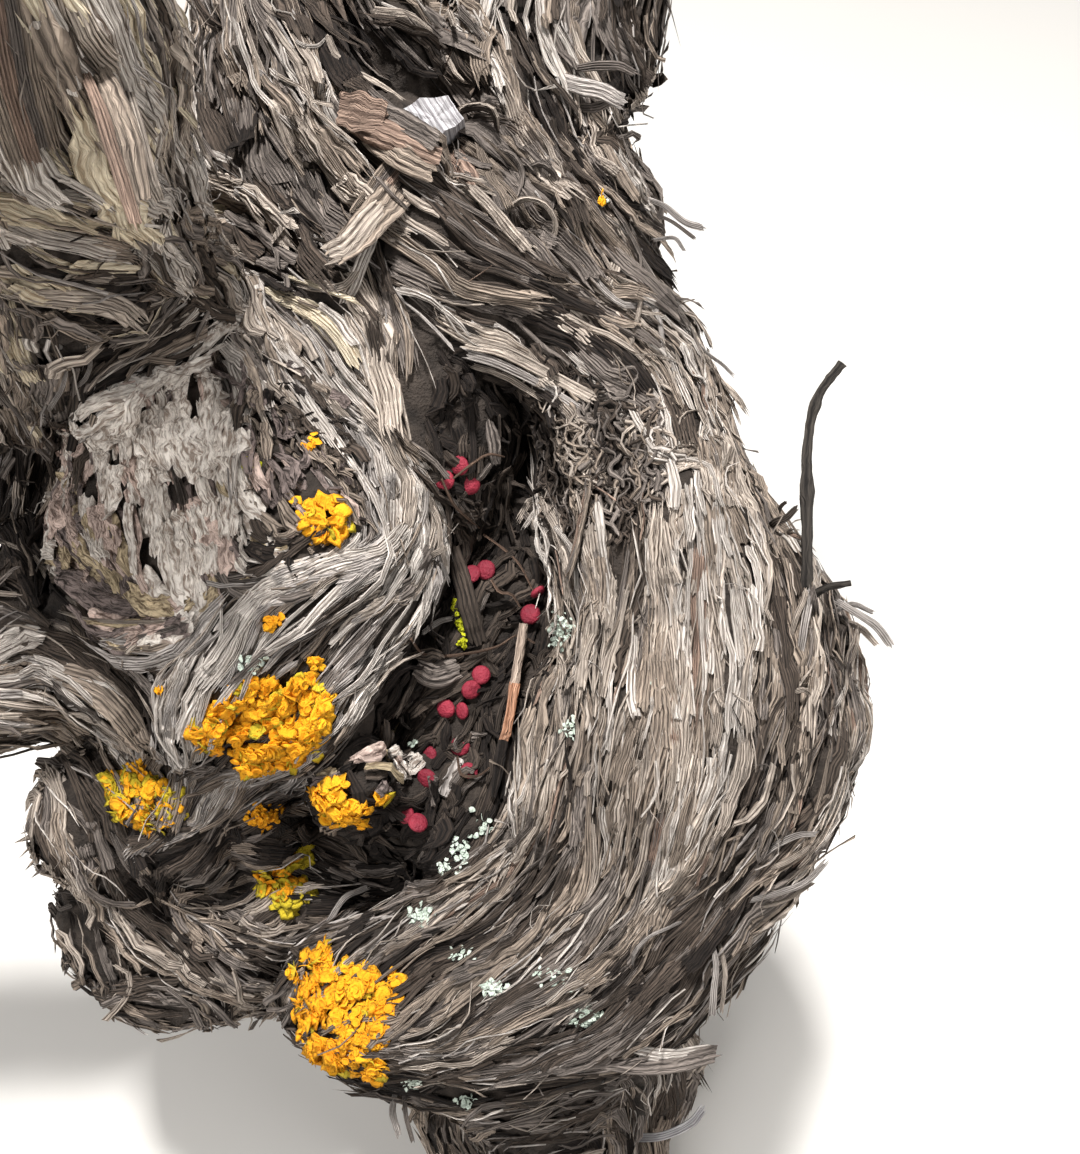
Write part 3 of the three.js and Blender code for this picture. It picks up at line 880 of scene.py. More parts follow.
@dataclass
class Skin:
    """The wood's skin: a closed mesh, its grain, and ways to find places on it."""

    verts: np.ndarray
    faces: np.ndarray
    normals: np.ndarray = field(init=False)
    centres: np.ndarray = field(init=False)
    areas: np.ndarray = field(init=False)
    grain: np.ndarray = field(init=False)
    limb: np.ndarray = field(init=False)
    relief: np.ndarray = field(init=False)
    tree: BVHTree = field(init=False)

    def settle(self) -> None:
        """Work out the normals, areas and search tree from the corners."""
        corners = self.verts[self.faces]
        cross = np.cross(corners[:, 1] - corners[:, 0], corners[:, 2] - corners[:, 0])
        self.areas = np.linalg.norm(cross, axis=1) / 2
        self.normals = unit(cross)
        self.centres = corners.mean(axis=1)
        self.tree = BVHTree.FromPolygons(self.verts.tolist(), self.faces.tolist())

    def vertex_normals(self) -> np.ndarray:
        """Work out the normals at the corners, weighted by the faces' areas.

        Returns:
            A normal for each corner.
        """
        weighted = self.normals * self.areas[:, None]
        total = np.zeros_like(self.verts)
        for corner in range(3):
            for axis in range(3):
                total[:, axis] += np.bincount(self.faces[:, corner], weighted[:, axis], minlength=len(total))
        return unit(total)

    def look(self, x: float, y: float) -> tuple[np.ndarray, np.ndarray]:
        """Find what shows at a place of the photograph's frame.

        Args:
            x: Place to the right in the frame.
            y: Place down in the frame.

        Returns:
            The point and its normal, or the nearest ones where the view misses the wood.
        """
        way = VIEW.ray(x, y)
        place, _, face, _ = self.tree.ray_cast(VIEW.eye.tolist(), way.tolist())
        if place is None:
            place, _, face, _ = self.tree.find_nearest((VIEW.eye + way * VIEW.distance).tolist())
        return np.array(place), self.normals[face]

    def find(self, points: np.ndarray) -> tuple[np.ndarray, np.ndarray]:
        """Give the places on the skin nearest to points, one to a row, and their faces."""
        found = [self.tree.find_nearest(point) for point in points.tolist()]
        return np.array([tuple(hit[0]) for hit in found]), np.array([hit[2] for hit in found])

    def follow(
        self,
        starts: np.ndarray,
        signs: np.ndarray,
        stride: np.ndarray,
        turns: np.ndarray,
        hold: float = 0.45,
    ) -> tuple[np.ndarray, np.ndarray]:
        """Trace paths over the skin along its grain, all at once.

        Args:
            starts: Where each path starts.
            signs: Which way along the grain it goes, 1 or -1.
            stride: The length of a step for each path.
            turns: Paths by rings, how far each step turns off the grain, in radians.
            hold: How much of its last heading a path keeps.

        Returns:
            Places and normals, paths by rings by 3.
        """
        path = np.empty((*turns.shape, 3))
        normal = np.empty_like(path)
        place = starts
        heading = None
        for step in range(turns.shape[1]):
            place, face = self.find(place)
            facing = self.normals[face]
            way = self.grain[face]
            if heading is None:
                way = way * signs[:, None]
            else:
                way = way * np.where(dot(way, heading) < 0, -1.0, 1.0)
                way = unit(way * (1 - hold) + heading * hold)
            angle = turns[:, step : step + 1]
            heading = way * np.cos(angle) + np.cross(facing, way) * np.sin(angle)
            heading = unit(heading - facing * dot(heading, facing))
            path[:, step] = place
            normal[:, step] = facing
            place = place + heading * stride[:, None]
        return path, normal


def pull(weight: np.ndarray, headings: np.ndarray) -> np.ndarray:
    """Give tensors that pull the grain along headings, each by its weight."""
    return weight[:, None, None] * headings[:, :, None] * headings[:, None]


@dataclass
class Grain:
    """Works out which way the wood's fibres run, from the limbs and the strokes."""

    slices: int = 9
    limb_reach: float = 8 * MM
    slice_reach: float = 30 * MM
    stroke_reach: float = 34.0
    stroke_pull: float = 6.0
    fold_pull: float = 9.0
    knob_spiral: float = math.radians(18)
    eddy_turn: float = 0.2
    eddies: int = 20
    calm_middle: tuple[float, float] = (700.0, 660.0)
    calm_size: tuple[float, float] = (200.0, 320.0)
    chunk: int = 20_000
    seed: int = 5

    def limb_run(self, points: np.ndarray) -> tuple[np.ndarray, np.ndarray]:
        """Blend the headings of the limbs near each point.

        Args:
            points: The places.

        Returns:
            A tensor that points along the grain, and the number of the nearest limb.
        """
        tensor = np.zeros((len(points), 3, 3))
        gaps = np.empty((len(points), len(WOOD_NODES)))
        for number, name in enumerate(WOOD_NODES):
            verts = node_verts(name)
            places, radii = middle_line(verts, self.slices)
            headings = unit(np.gradient(places, axis=0))
            away = np.linalg.norm(points[:, None] - places[None], axis=2)
            gap = np.maximum((away - radii).min(axis=1), 0)
            gaps[:, number] = gap
            weight = np.exp(-((gap / self.limb_reach) ** 2)) + 1e-9
            if name == "wound_knob":
                spoke = points - verts.mean(axis=0)
                spoke = unit(spoke - dot(spoke, VIEW.out) * VIEW.out)
                ring = np.cross(VIEW.out, spoke) * math.cos(self.knob_spiral)
                tensor += pull(weight, ring + spoke * math.sin(self.knob_spiral))
                continue
            near = np.exp(-((away / self.slice_reach) ** 2)) + 1e-9
            outer = headings[:, :, None] * headings[:, None]
            tensor += np.einsum("ns,sij->nij", near * weight[:, None], outer)
        size = np.trace(tensor, axis1=1, axis2=2)[:, None, None]
        return tensor / size, gaps.argmin(axis=1)

    def run(self, points: np.ndarray, normals: np.ndarray) -> tuple[np.ndarray, np.ndarray]:
        """Give the grain's direction at points on the skin.

        Args:
            points: The places.
            normals: The skin's normals there.

        Returns:
            The directions, lying in the skin, and the number of the nearest limb at each.
        """
        parts = [self.limb_run(points[k : k + self.chunk]) for k in range(0, len(points), self.chunk)]
        tensor, limb = (np.concatenate(part) for part in zip(*parts))
        seen = VIEW.seen(points)
        sight = unit(VIEW.eye - points)
        facing = dot(normals, sight)[:, 0]
        open_to_view = np.clip((facing + 0.1) / 0.4, 0, 1) * (VIEW.depth(points) > -0.13)

        def draw(weight: np.ndarray, drawn: np.ndarray) -> None:
            """Pull the grain along a direction, laid on the skin so that it looks the same from the eye.

            Args:
                weight: How hard it pulls at each place.
                drawn: The direction in the picture's plane.
            """
            weight = weight * open_to_view
            picked = weight > 1e-3
            slant = (normals[picked] @ drawn)[:, None] / np.maximum(facing[picked], 0.35)[:, None]
            tensor[picked] += pull(weight[picked], unit(drawn - sight[picked] * slant))

        for x, y, heading in GRAIN_STROKES:
            away = (seen[:, 0] - x) ** 2 + (seen[:, 1] - y) ** 2
            angle = math.radians(heading)
            drawn = VIEW.right * math.cos(angle) + VIEW.up * math.sin(angle)
            draw(self.stroke_pull * np.exp(-away / self.stroke_reach**2), drawn)
        for fold in FOLDS:
            if fold.height < 0 and len(fold.places) < 3:
                continue
            for start, end in zip(fold.places, fold.places[1:]):
                away = off_line(seen, start, end)
                drawn = unit(VIEW.right * (end[0] - start[0]) - VIEW.up * (end[1] - start[1]))
                draw(self.fold_pull * np.exp(-((away / (fold.width * 1.5)) ** 2)), drawn)
        flat = np.eye(3) - normals[:, :, None] * normals[:, None]
        _, vectors = np.linalg.eigh(flat @ tensor @ flat)
        straight = unit(vectors[:, :, 2])
        rng = np.random.default_rng(self.seed)
        turn = np.zeros(len(points))
        for _ in range(self.eddies):
            wave = unit(rng.normal(0, 1, 3)) * rng.uniform(120, 700)
            turn += np.sin(points @ wave + rng.uniform(0, 2 * math.pi))
        calm = np.clip(1.3 - np.hypot(*((seen - self.calm_middle) / self.calm_size).T), 0, 0.55)
        turn = (turn * self.eddy_turn * math.sqrt(2 / self.eddies) * (1 - calm))[:, None]
        return unit(straight * np.cos(turn) + np.cross(normals, straight) * np.sin(turn)), limb


@dataclass
class Underbark:
    """The wood's skin under the strips: the solids joined, smoothed and furrowed.

    Gussets fill the corners between limbs: places right, up and out on the head, and a radius.
    """

    voxel: float = 2.9 * MM
    smoothing: int = 8
    swell: float = 0.7 * MM
    foot: float = 2.5 * MM
    furrow: float = 1.9 * MM
    fine_furrow: float = 0.6 * MM
    stride: float = 5.0 * MM
    seed: int = 11
    rings: int = 9
    sides: int = 12
    gussets: tuple[tuple[float, Course], ...] = (
        (17, ((-76, 140, -44), (-84, 112, -34), (-84, 76, -34))),
        (20, ((-40, 176, -60), (-30, 142, -58), (-22, 108, -56))),
        (19, ((-122, 40, -64), (-148, 35, -62), (-178, 26, -58))),
        (14, ((3, -42, -34), (6, -57, -31), (12, -70, -26), (23, -79, -24), (38, -84, -24), (54, -84, -30))),
    )

    def gusset(self, radius: float, places: Course) -> tuple[np.ndarray, np.ndarray]:
        """Shape a closed tube with thin ends along a line on the head.

        Args:
            radius: Its radius in millimetres.
            places: The line.

        Returns:
            The vertices and the triangles.
        """
        line = smooth_path(on_head(*places), self.rings)
        radii = radius * MM * np.sin(np.linspace(0.25, math.pi - 0.25, self.rings)) ** 0.5
        side, other = spread_axes(unit(np.gradient(line, axis=0)), np.zeros(self.rings))
        angle = (np.arange(self.sides) / self.sides * 2 * math.pi)[None, :, None]
        spokes = side[:, None] * np.cos(angle) + other[:, None] * np.sin(angle)
        verts = line[:, None] + radii[:, None, None] * spokes
        quads, caps = tube_faces(self.rings, self.sides)
        fans = [[cap[0], cap[k], cap[k + 1]] for cap in caps for k in range(1, self.sides - 1)]
        return verts.reshape(-1, 3), np.concatenate([quads[:, :3], quads[:, [0, 2, 3]], np.array(fans)])

    def joined(self) -> tuple[np.ndarray, np.ndarray]:
        """Join the wood's solids into one voxel mesh and give its largest body.

        Returns:
            The vertices and the triangles.
        """
        parts = [(node_verts(name), node_faces(name)) for name in WOOD_NODES]
        parts += [self.gusset(*row) for row in self.gussets]
        starts = np.cumsum([0, *(len(verts) for verts, _ in parts)])
        verts = np.concatenate([verts for verts, _ in parts])
        faces = np.concatenate([faces + start for (_, faces), start in zip(parts, starts)])
        mesh = bpy.data.meshes.new("joined_wood")
        mesh.from_pydata(verts.tolist(), [], faces.tolist())
        whole = bpy.data.objects.new("joined_wood", mesh)
        bpy.context.scene.collection.objects.link(whole)
        remesh = whole.modifiers.new("voxels", "REMESH")
        remesh.mode = "VOXEL"
        remesh.voxel_size = self.voxel
        shape = whole.evaluated_get(bpy.context.evaluated_depsgraph_get()).to_mesh()
        corners = triangles_of(shape)
        place = np.empty(len(shape.vertices) * 3)
        shape.vertices.foreach_get("co", place)
        place = place.reshape(-1, 3)
        bpy.data.objects.remove(whole)
        label = np.arange(len(place))
        edges = np.concatenate([corners[:, [0, 1]], corners[:, [1, 2]], corners[:, [2, 0]]])
        while True:
            lowest = label.copy()
            np.minimum.at(lowest, edges[:, 0], label[edges[:, 1]])
            np.minimum.at(lowest, edges[:, 1], label[edges[:, 0]])
            lowest = lowest[lowest]
            if np.array_equal(lowest, label):
                break
            label = lowest
        kept = label[corners[:, 0]] == np.bincount(label).argmax()
        used, corners = np.unique(corners[kept], return_inverse=True)
        return place[used], corners.reshape(-1, 3)

    def smooth(self, values: np.ndarray, edges: np.ndarray, rounds: int) -> np.ndarray:
        """Average values with their neighbours'.

        Args:
            values: One row for each vertex.
            edges: Pairs of vertices.
            rounds: How many times.

        Returns:
            The smoothed values.
        """
        count = len(values)
        degree = np.bincount(edges.ravel(), minlength=count)[:, None]
        columns = values.reshape(count, -1)
        for _ in range(rounds):
            total = np.empty_like(columns)
            for axis, column in enumerate(columns.T):
                total[:, axis] = np.bincount(edges[:, 0], column[edges[:, 1]], minlength=count)
                total[:, axis] += np.bincount(edges[:, 1], column[edges[:, 0]], minlength=count)
            columns = 0.5 * columns + 0.5 * total / degree
        return columns.reshape(values.shape)

    def combed(self, values: np.ndarray, hops: tuple[np.ndarray, ...], doublings: int) -> np.ndarray:
        """Draw values out along the grain by doubling the distance summed over.

        Args:
            values: A number for each vertex.
            hops: The vertices one stride along the grain from each, and one stride back.
            doublings: How many times the distance doubles.

        Returns:
            The drawn-out values, with a spread of about one.
        """
        total = np.zeros_like(values)
        for hop in hops:
            run = values
            for _ in range(doublings):
                run = run + run[hop]
                hop = hop[hop]
            total = total + run
        return (total - total.mean()) / total.std()

    def build(self) -> Skin:
        """Make the skin, its grain and the piece that shows it.

        Returns:
            The skin that the strips are laid on.
        """
        verts, faces = self.joined()
        edges = np.concatenate([faces[:, :2], faces[:, 1:], faces[:, ::2]])
        edges = np.unique(np.sort(edges, axis=1), axis=0)
        low = verts[:, 2] < self.foot
        ground = verts[:, 2].copy()
        verts = self.smooth(verts, edges, self.smoothing)
        verts[low, 2] = ground[low]
        skin = Skin(verts, faces)
        skin.settle()
        normals = skin.vertex_normals()
        run, limb = Grain().run(verts, normals)
        rng = np.random.default_rng(self.seed)
        tree = KDTree(len(verts))
        for index, vert in enumerate(verts.tolist()):
            tree.insert(vert, index)
        tree.balance()
        hops = tuple(
            np.array([tree.find(p)[1] for p in (verts + run * stride).tolist()])
            for stride in (self.stride, -self.stride)
        )
        broad = self.smooth(rng.standard_normal(len(verts)), edges, 6)
        narrow = self.smooth(rng.standard_normal(len(verts)), edges, 1)
        relief = self.combed(broad, hops, 3) * self.furrow + self.combed(narrow, hops, 2) * self.fine_furrow
        relief = np.clip(relief, -3.5 * MM, 3 * MM)
        facing = dot(normals, unit(VIEW.eye - verts))[:, 0]
        shown = np.clip(facing / 0.35, 0, 1) * (VIEW.depth(verts) > -0.11)
        seen = VIEW.seen(verts)
        for fold in FOLDS:
            relief += fold.height * MM * fold.nearness(seen) * shown
        skin.relief = relief[faces].mean(axis=1)
        push = normals * (relief + self.swell)[:, None]
        push[low, 2] = 0
        skin.verts = verts + push
        skin.verts[:, 2] = np.maximum(skin.verts[:, 2], 0)
        skin.settle()
        for _ in range(3):
            skin.normals = unit(skin.vertex_normals()[faces].sum(axis=1))
        skin.limb = limb[faces[:, 0]]
        grain = run[faces[:, 0]]
        for corner in (1, 2):
            other = run[faces[:, corner]]
            grain = grain + other * np.where(dot(other, run[faces[:, 0]]) < 0, -1.0, 1.0)
        skin.grain = unit(grain - skin.normals * dot(grain, skin.normals))
        batch = Batch("under_bark")
        batch.add(skin.verts[None], skin.verts[None, :, :2], [faces], batch.look(Plain.UNDER))
        batch.build(*WOOD_NODES)
        return skin


Mix = tuple[tuple[Tone, float], ...]


@dataclass(frozen=True)
class Thatch:
    """One kind of bark strip: its sizes, how loose it is and its tones."""

    cover: float
    length: tuple[float, float]
    width: tuple[float, float]
    tones: Mix
    columns: int = 9
    steps: int = 7
    thick: float = 0.5 * MM
    ridge: float = 0.3 * MM
    lift: float = 1.6 * MM
    tip_lift: float = 1.4 * MM
    wander: float = 0.07
    chaos: float = 0.06
    twist: float = 0.12
    split: float = 0.9
    taper: float = 0.45
    ragged: float = 0.13
    regular: float = 0.8
    ripple: float = 0.14 * MM
    drape: float = 0.0
    comb: float = 0.0
    cup: tuple[float, float] = (0.05, 0.22)
    falling: float = 0.85

    @property
    def tube(self) -> list[np.ndarray]:
        """The faces of one strip."""
        return tube_faces(self.steps + 1, self.columns)


def mix(**odds: float) -> Mix:
    """Name tones with the odds of each, from the lowest strips to the highest."""
    return tuple((Tone[name], odd) for name, odd in odds.items())


SUNLIT = mix(SOOT=0.6, DARK=1.4, DUSK=1.6, UMBER=2.2, RUDDY=0.3, TAN=3, BLEACHED=2)
SHADED = mix(SOOT=1.5, DARK=2.4, DUSK=2.2, UMBER=1.6, TAN=1.2, BLEACHED=0.6)
BRIGHT = mix(DARK=0.8, DUSK=1.6, UMBER=2.8, RUDDY=0.4, TAN=2.6, BLEACHED=0.7)
DIM = mix(SOOT=1.8, DARK=2.6, DUSK=1.8, UMBER=1.6, TAN=1, BLEACHED=0.4)
LOWLIGHT = mix(SOOT=2.2, DARK=3.6, DUSK=2, UMBER=0.9, TAN=0.2)
BACK = mix(DARK=1.4, DUSK=2.4, UMBER=2.6, TAN=1.2)
GLOOMY = mix(SOOT=1.4, DARK=2.4, DUSK=2, UMBER=1.4, TAN=0.6)
PLATES = mix(DARK=0.7, MAUVE=2, OCHRE=1.4, ROSE=2.4, CHALK=4.4)
CRUSTS = mix(SOOT=2.4, DARK=3, UMBER=1.8, MAUVE=1.4, ROSE=0.3)
# The hollow's chips and strips: mostly the darkest tone, partly the hollow's dark floor and partly painted
# shade.
MURK = mix(SOOT=6, DARK=2.4, DUSK=0.3)
ASHEN = mix(SOOT=0.5, DARK=1.2, DUSK=2, UMBER=1.4, GREY=3, TAN=1.2, BLEACHED=2.2)
# Pale tones for the near arm: partly its pale bark and partly painted light, since the lamps only graze it.
PALE_AND_LIT = mix(DARK=0.3, UMBER=0.7, BUFF=3.4, TAN=2, BLEACHED=4)


def slow_noise(rng: np.random.Generator, count: int, rings: int) -> np.ndarray:
    """Give each strip a random number at each ring that changes slowly from ring to ring."""
    noise = rng.standard_normal((count, rings + 2))
    return (noise[:, :-2] + 2 * noise[:, 1:-1] + noise[:, 2:]) / 2.45


@dataclass
class BarkStrips:
    """Torn strips of bark that cover the skin like thatch.

    Each outline that is kept clear lets in strips that lie in it by less than its share.
    """

    skin: Skin
    name: str
    thatch: Thatch
    weight: np.ndarray
    seed: int
    kept_clear: tuple[tuple[Line, float], ...] = ((HOLLOW, 0.35), (SCAR, 0.1))
    piece_limit: int = 180_000

    def build(self) -> None:
        """Trace every strip, shape it and put it into pieces that are small enough."""
        rng = np.random.default_rng(self.seed)
        kind = self.thatch
        area = self.skin.areas * self.weight
        count = int(kind.cover * area.sum() / (np.mean(kind.length) * np.mean(kind.width)))
        face = rng.choice(len(area), count, p=area / area.sum())
        length = rng.uniform(*kind.length, count) * rng.uniform(0.75, 1.25, count)
        width = rng.uniform(*kind.width, count)
        downhill = -np.sign(self.skin.grain[face][:, 2])
        signs = np.where(rng.random(count) < kind.falling, downhill, -downhill)
        phase = rng.uniform(0, 2 * math.pi, (count, 1))
        pace = rng.uniform(0.5, 1.6, (count, 1))
        turns = kind.wander * np.sin(phase + pace * np.arange(kind.steps + 1))
        turns[:, 0] += rng.normal(0, kind.chaos, count)
        path, normal = self.skin.follow(self.skin.centres[face], signs, length / kind.steps, turns)
        seen = VIEW.seen(path).reshape(-1, 2)
        near = VIEW.depth(path) > -0.12
        kept = np.ones(count, dtype=bool)
        for outline, share in self.kept_clear:
            kept &= (inside(seen, outline, 1).reshape(near.shape) * near).mean(axis=1) < share
        face, path, normal, length, width = (row[kept] for row in (face, path, normal, length, width))
        count = len(face)
        level = rng.random(count)
        verts, places = self.shape(rng, path, normal, length, width, level)
        odds = np.cumsum([odd for _, odd in kind.tones])
        # Strips on the skin's ropes take the paler tones and strips in its crevices the darker ones: painted
        # light on the ropes and painted shade in the crevices. Strips higher in the thatch also take paler
        # tones, and patches and chance mix the rest.
        hill = np.clip(self.skin.relief[face] / (2.5 * MM), -2, 1)
        patch = self.patches(self.skin.centres[face])
        rank = 0.35 * level + 0.25 * patch + 0.4 * rng.random(count) + 0.3 * hill
        rank = np.argsort(np.argsort(rank)) / count
        tones = [kind.tones[k][0] for k in np.searchsorted(odds / odds[-1], rank)]
        each = sum(len(part) * (part.shape[1] - 2) for part in kind.tube)
        group = max(1, self.piece_limit // each)
        for number, start in enumerate(range(0, count, group), 1):
            part = slice(start, start + group)
            batch = Batch(f"{self.name}_{number}", rounded=False)
            batch.add(verts[part], places[part], kind.tube, batch.look(*tones[part]))
            batch.build()

    def patches(self, points: np.ndarray) -> np.ndarray:
        """Give a slow wave over the wood from 0 to 1, so that tones gather in patches.

        Args:
            points: The places.

        Returns:
            The wave there.
        """
        rng = np.random.default_rng(3)
        total = np.zeros(len(points))
        for _ in range(10):
            wave = unit(rng.normal(0, 1, 3)) * rng.uniform(60, 260)
            total += np.sin(points @ wave + rng.uniform(0, 2 * math.pi))
        return np.clip(0.5 + total / 8, 0, 1)

    def shape(
        self,
        rng: np.random.Generator,
        path: np.ndarray,
        normal: np.ndarray,
        length: np.ndarray,
        width: np.ndarray,
        level: np.ndarray,
    ) -> tuple[np.ndarray, np.ndarray]:
        """Give every strip its section along its path.

        Args:
            rng: The random numbers.
            path: Strips by rings by 3.
            normal: The skin's normals along them.
            length: Each strip's length.
            width: Each strip's width.
            level: How high each strip lies among the others, from 0 to 1.

        Returns:
            The vertices and the texture places.
        """
        kind = self.thatch
        count, rings = path.shape[:2]
        columns = kind.columns
        t = np.linspace(0, 1, rings)[None]
        tangent = unit(np.gradient(path, axis=1))
        normal = unit(normal - tangent * dot(normal, tangent))
        aside = np.cross(tangent, normal)
        loose = rng.random((count, 1)) ** 3
        spin = kind.twist * rng.normal(0, 1, (count, 1)) * (0.4 + loose * t**2 * 5)
        across = aside * np.cos(spin)[..., None] + normal * np.sin(spin)[..., None]
        upward = normal * np.cos(spin)[..., None] - aside * np.sin(spin)[..., None]
        head = rng.random((count, 1)) ** 3 * kind.tip_lift * 0.6
        rise = kind.lift * level[:, None] + loose * kind.tip_lift * 2.4 * t**3 + head * (1 - t) ** 4
        rise = rise + rng.normal(0, 0.3 * MM, (count, 1)) * np.sin(math.pi * t)
        rise = rise + rng.normal(0, 1, (count, rings)) * kind.ripple
        narrow = rng.uniform(0, kind.taper, (2, count, 1))
        profile = 1 - narrow[0] * (1 - t) ** 2 - narrow[1] * t**2
        profile = profile * (1 + kind.ragged * slow_noise(rng, count, rings))
        half = 0.5 * width[:, None] * np.clip(profile, 0.15, 1.4)
        column = np.arange(columns)
        x = np.linspace(-1, 1, columns) + rng.normal(0, 0.4 / columns, (count, 1, columns))
        x = x + 0.8 * kind.ragged * slow_noise(rng, count, rings)[..., None]
        inner = (column > 0) & (column < columns - 1)
        uneven = rng.normal(0, 1, (count, 1, columns))
        crest = kind.regular * np.where(column % 2 == 1, 1.0, -1.0) + (1 - kind.regular) * uneven
        depth = kind.ridge * rng.uniform(0.3, 1.3, (count, 1, columns))
        depth = depth * rng.uniform(0.7, 1.3, (count, rings, columns))
        thin = np.clip(np.minimum(t * 5 + 0.35, (1 - t) * 5 + 0.35), 0, 1)[..., None]
        cup = rng.normal(*kind.cup, (count, 1, 1)) * half[..., None] * x**2
        y = np.where(inner, 0.5 * kind.thick * (1 - x**2) + crest * depth * 0.5, -kind.thick) * thin
        y = y + cup + rise[..., None]
        stride = (length / (rings - 1))[:, None]
        end = np.zeros((count, rings, columns))
        end[:, 0] = kind.split * stride * (rng.random((count, columns)) - 0.6) * inner
        end[:, -1] = kind.split * stride * (rng.random((count, columns)) - 0.4) * inner
        teeth = kind.comb * stride * rng.random((2, count, columns)) * (column % 2 == 1)
        end[:, 0] -= teeth[0]
        end[:, -1] += teeth[1]
        base = path[:, :, None] + across[:, :, None] * (half[..., None] * x)[..., None]
        if kind.drape:
            ground, _ = self.skin.find(base.reshape(-1, 3))
            base += (ground.reshape(base.shape) - base) * kind.drape
        verts = base + upward[:, :, None] * y[..., None] + tangent[:, :, None] * end[..., None]
        verts[..., 2] = np.maximum(verts[..., 2], 0)
        along = (t * length[:, None])[..., None] + end + rng.uniform(0, 9, (count, 1, 1))
        over = np.broadcast_to(0.5 * column + rng.integers(0, 90, (count, 1, 1)), along.shape)
        places = np.stack([along, over], axis=-1)
        flat = columns * rings
        return verts.reshape(count, flat, 3), places.reshape(count, flat, 2)


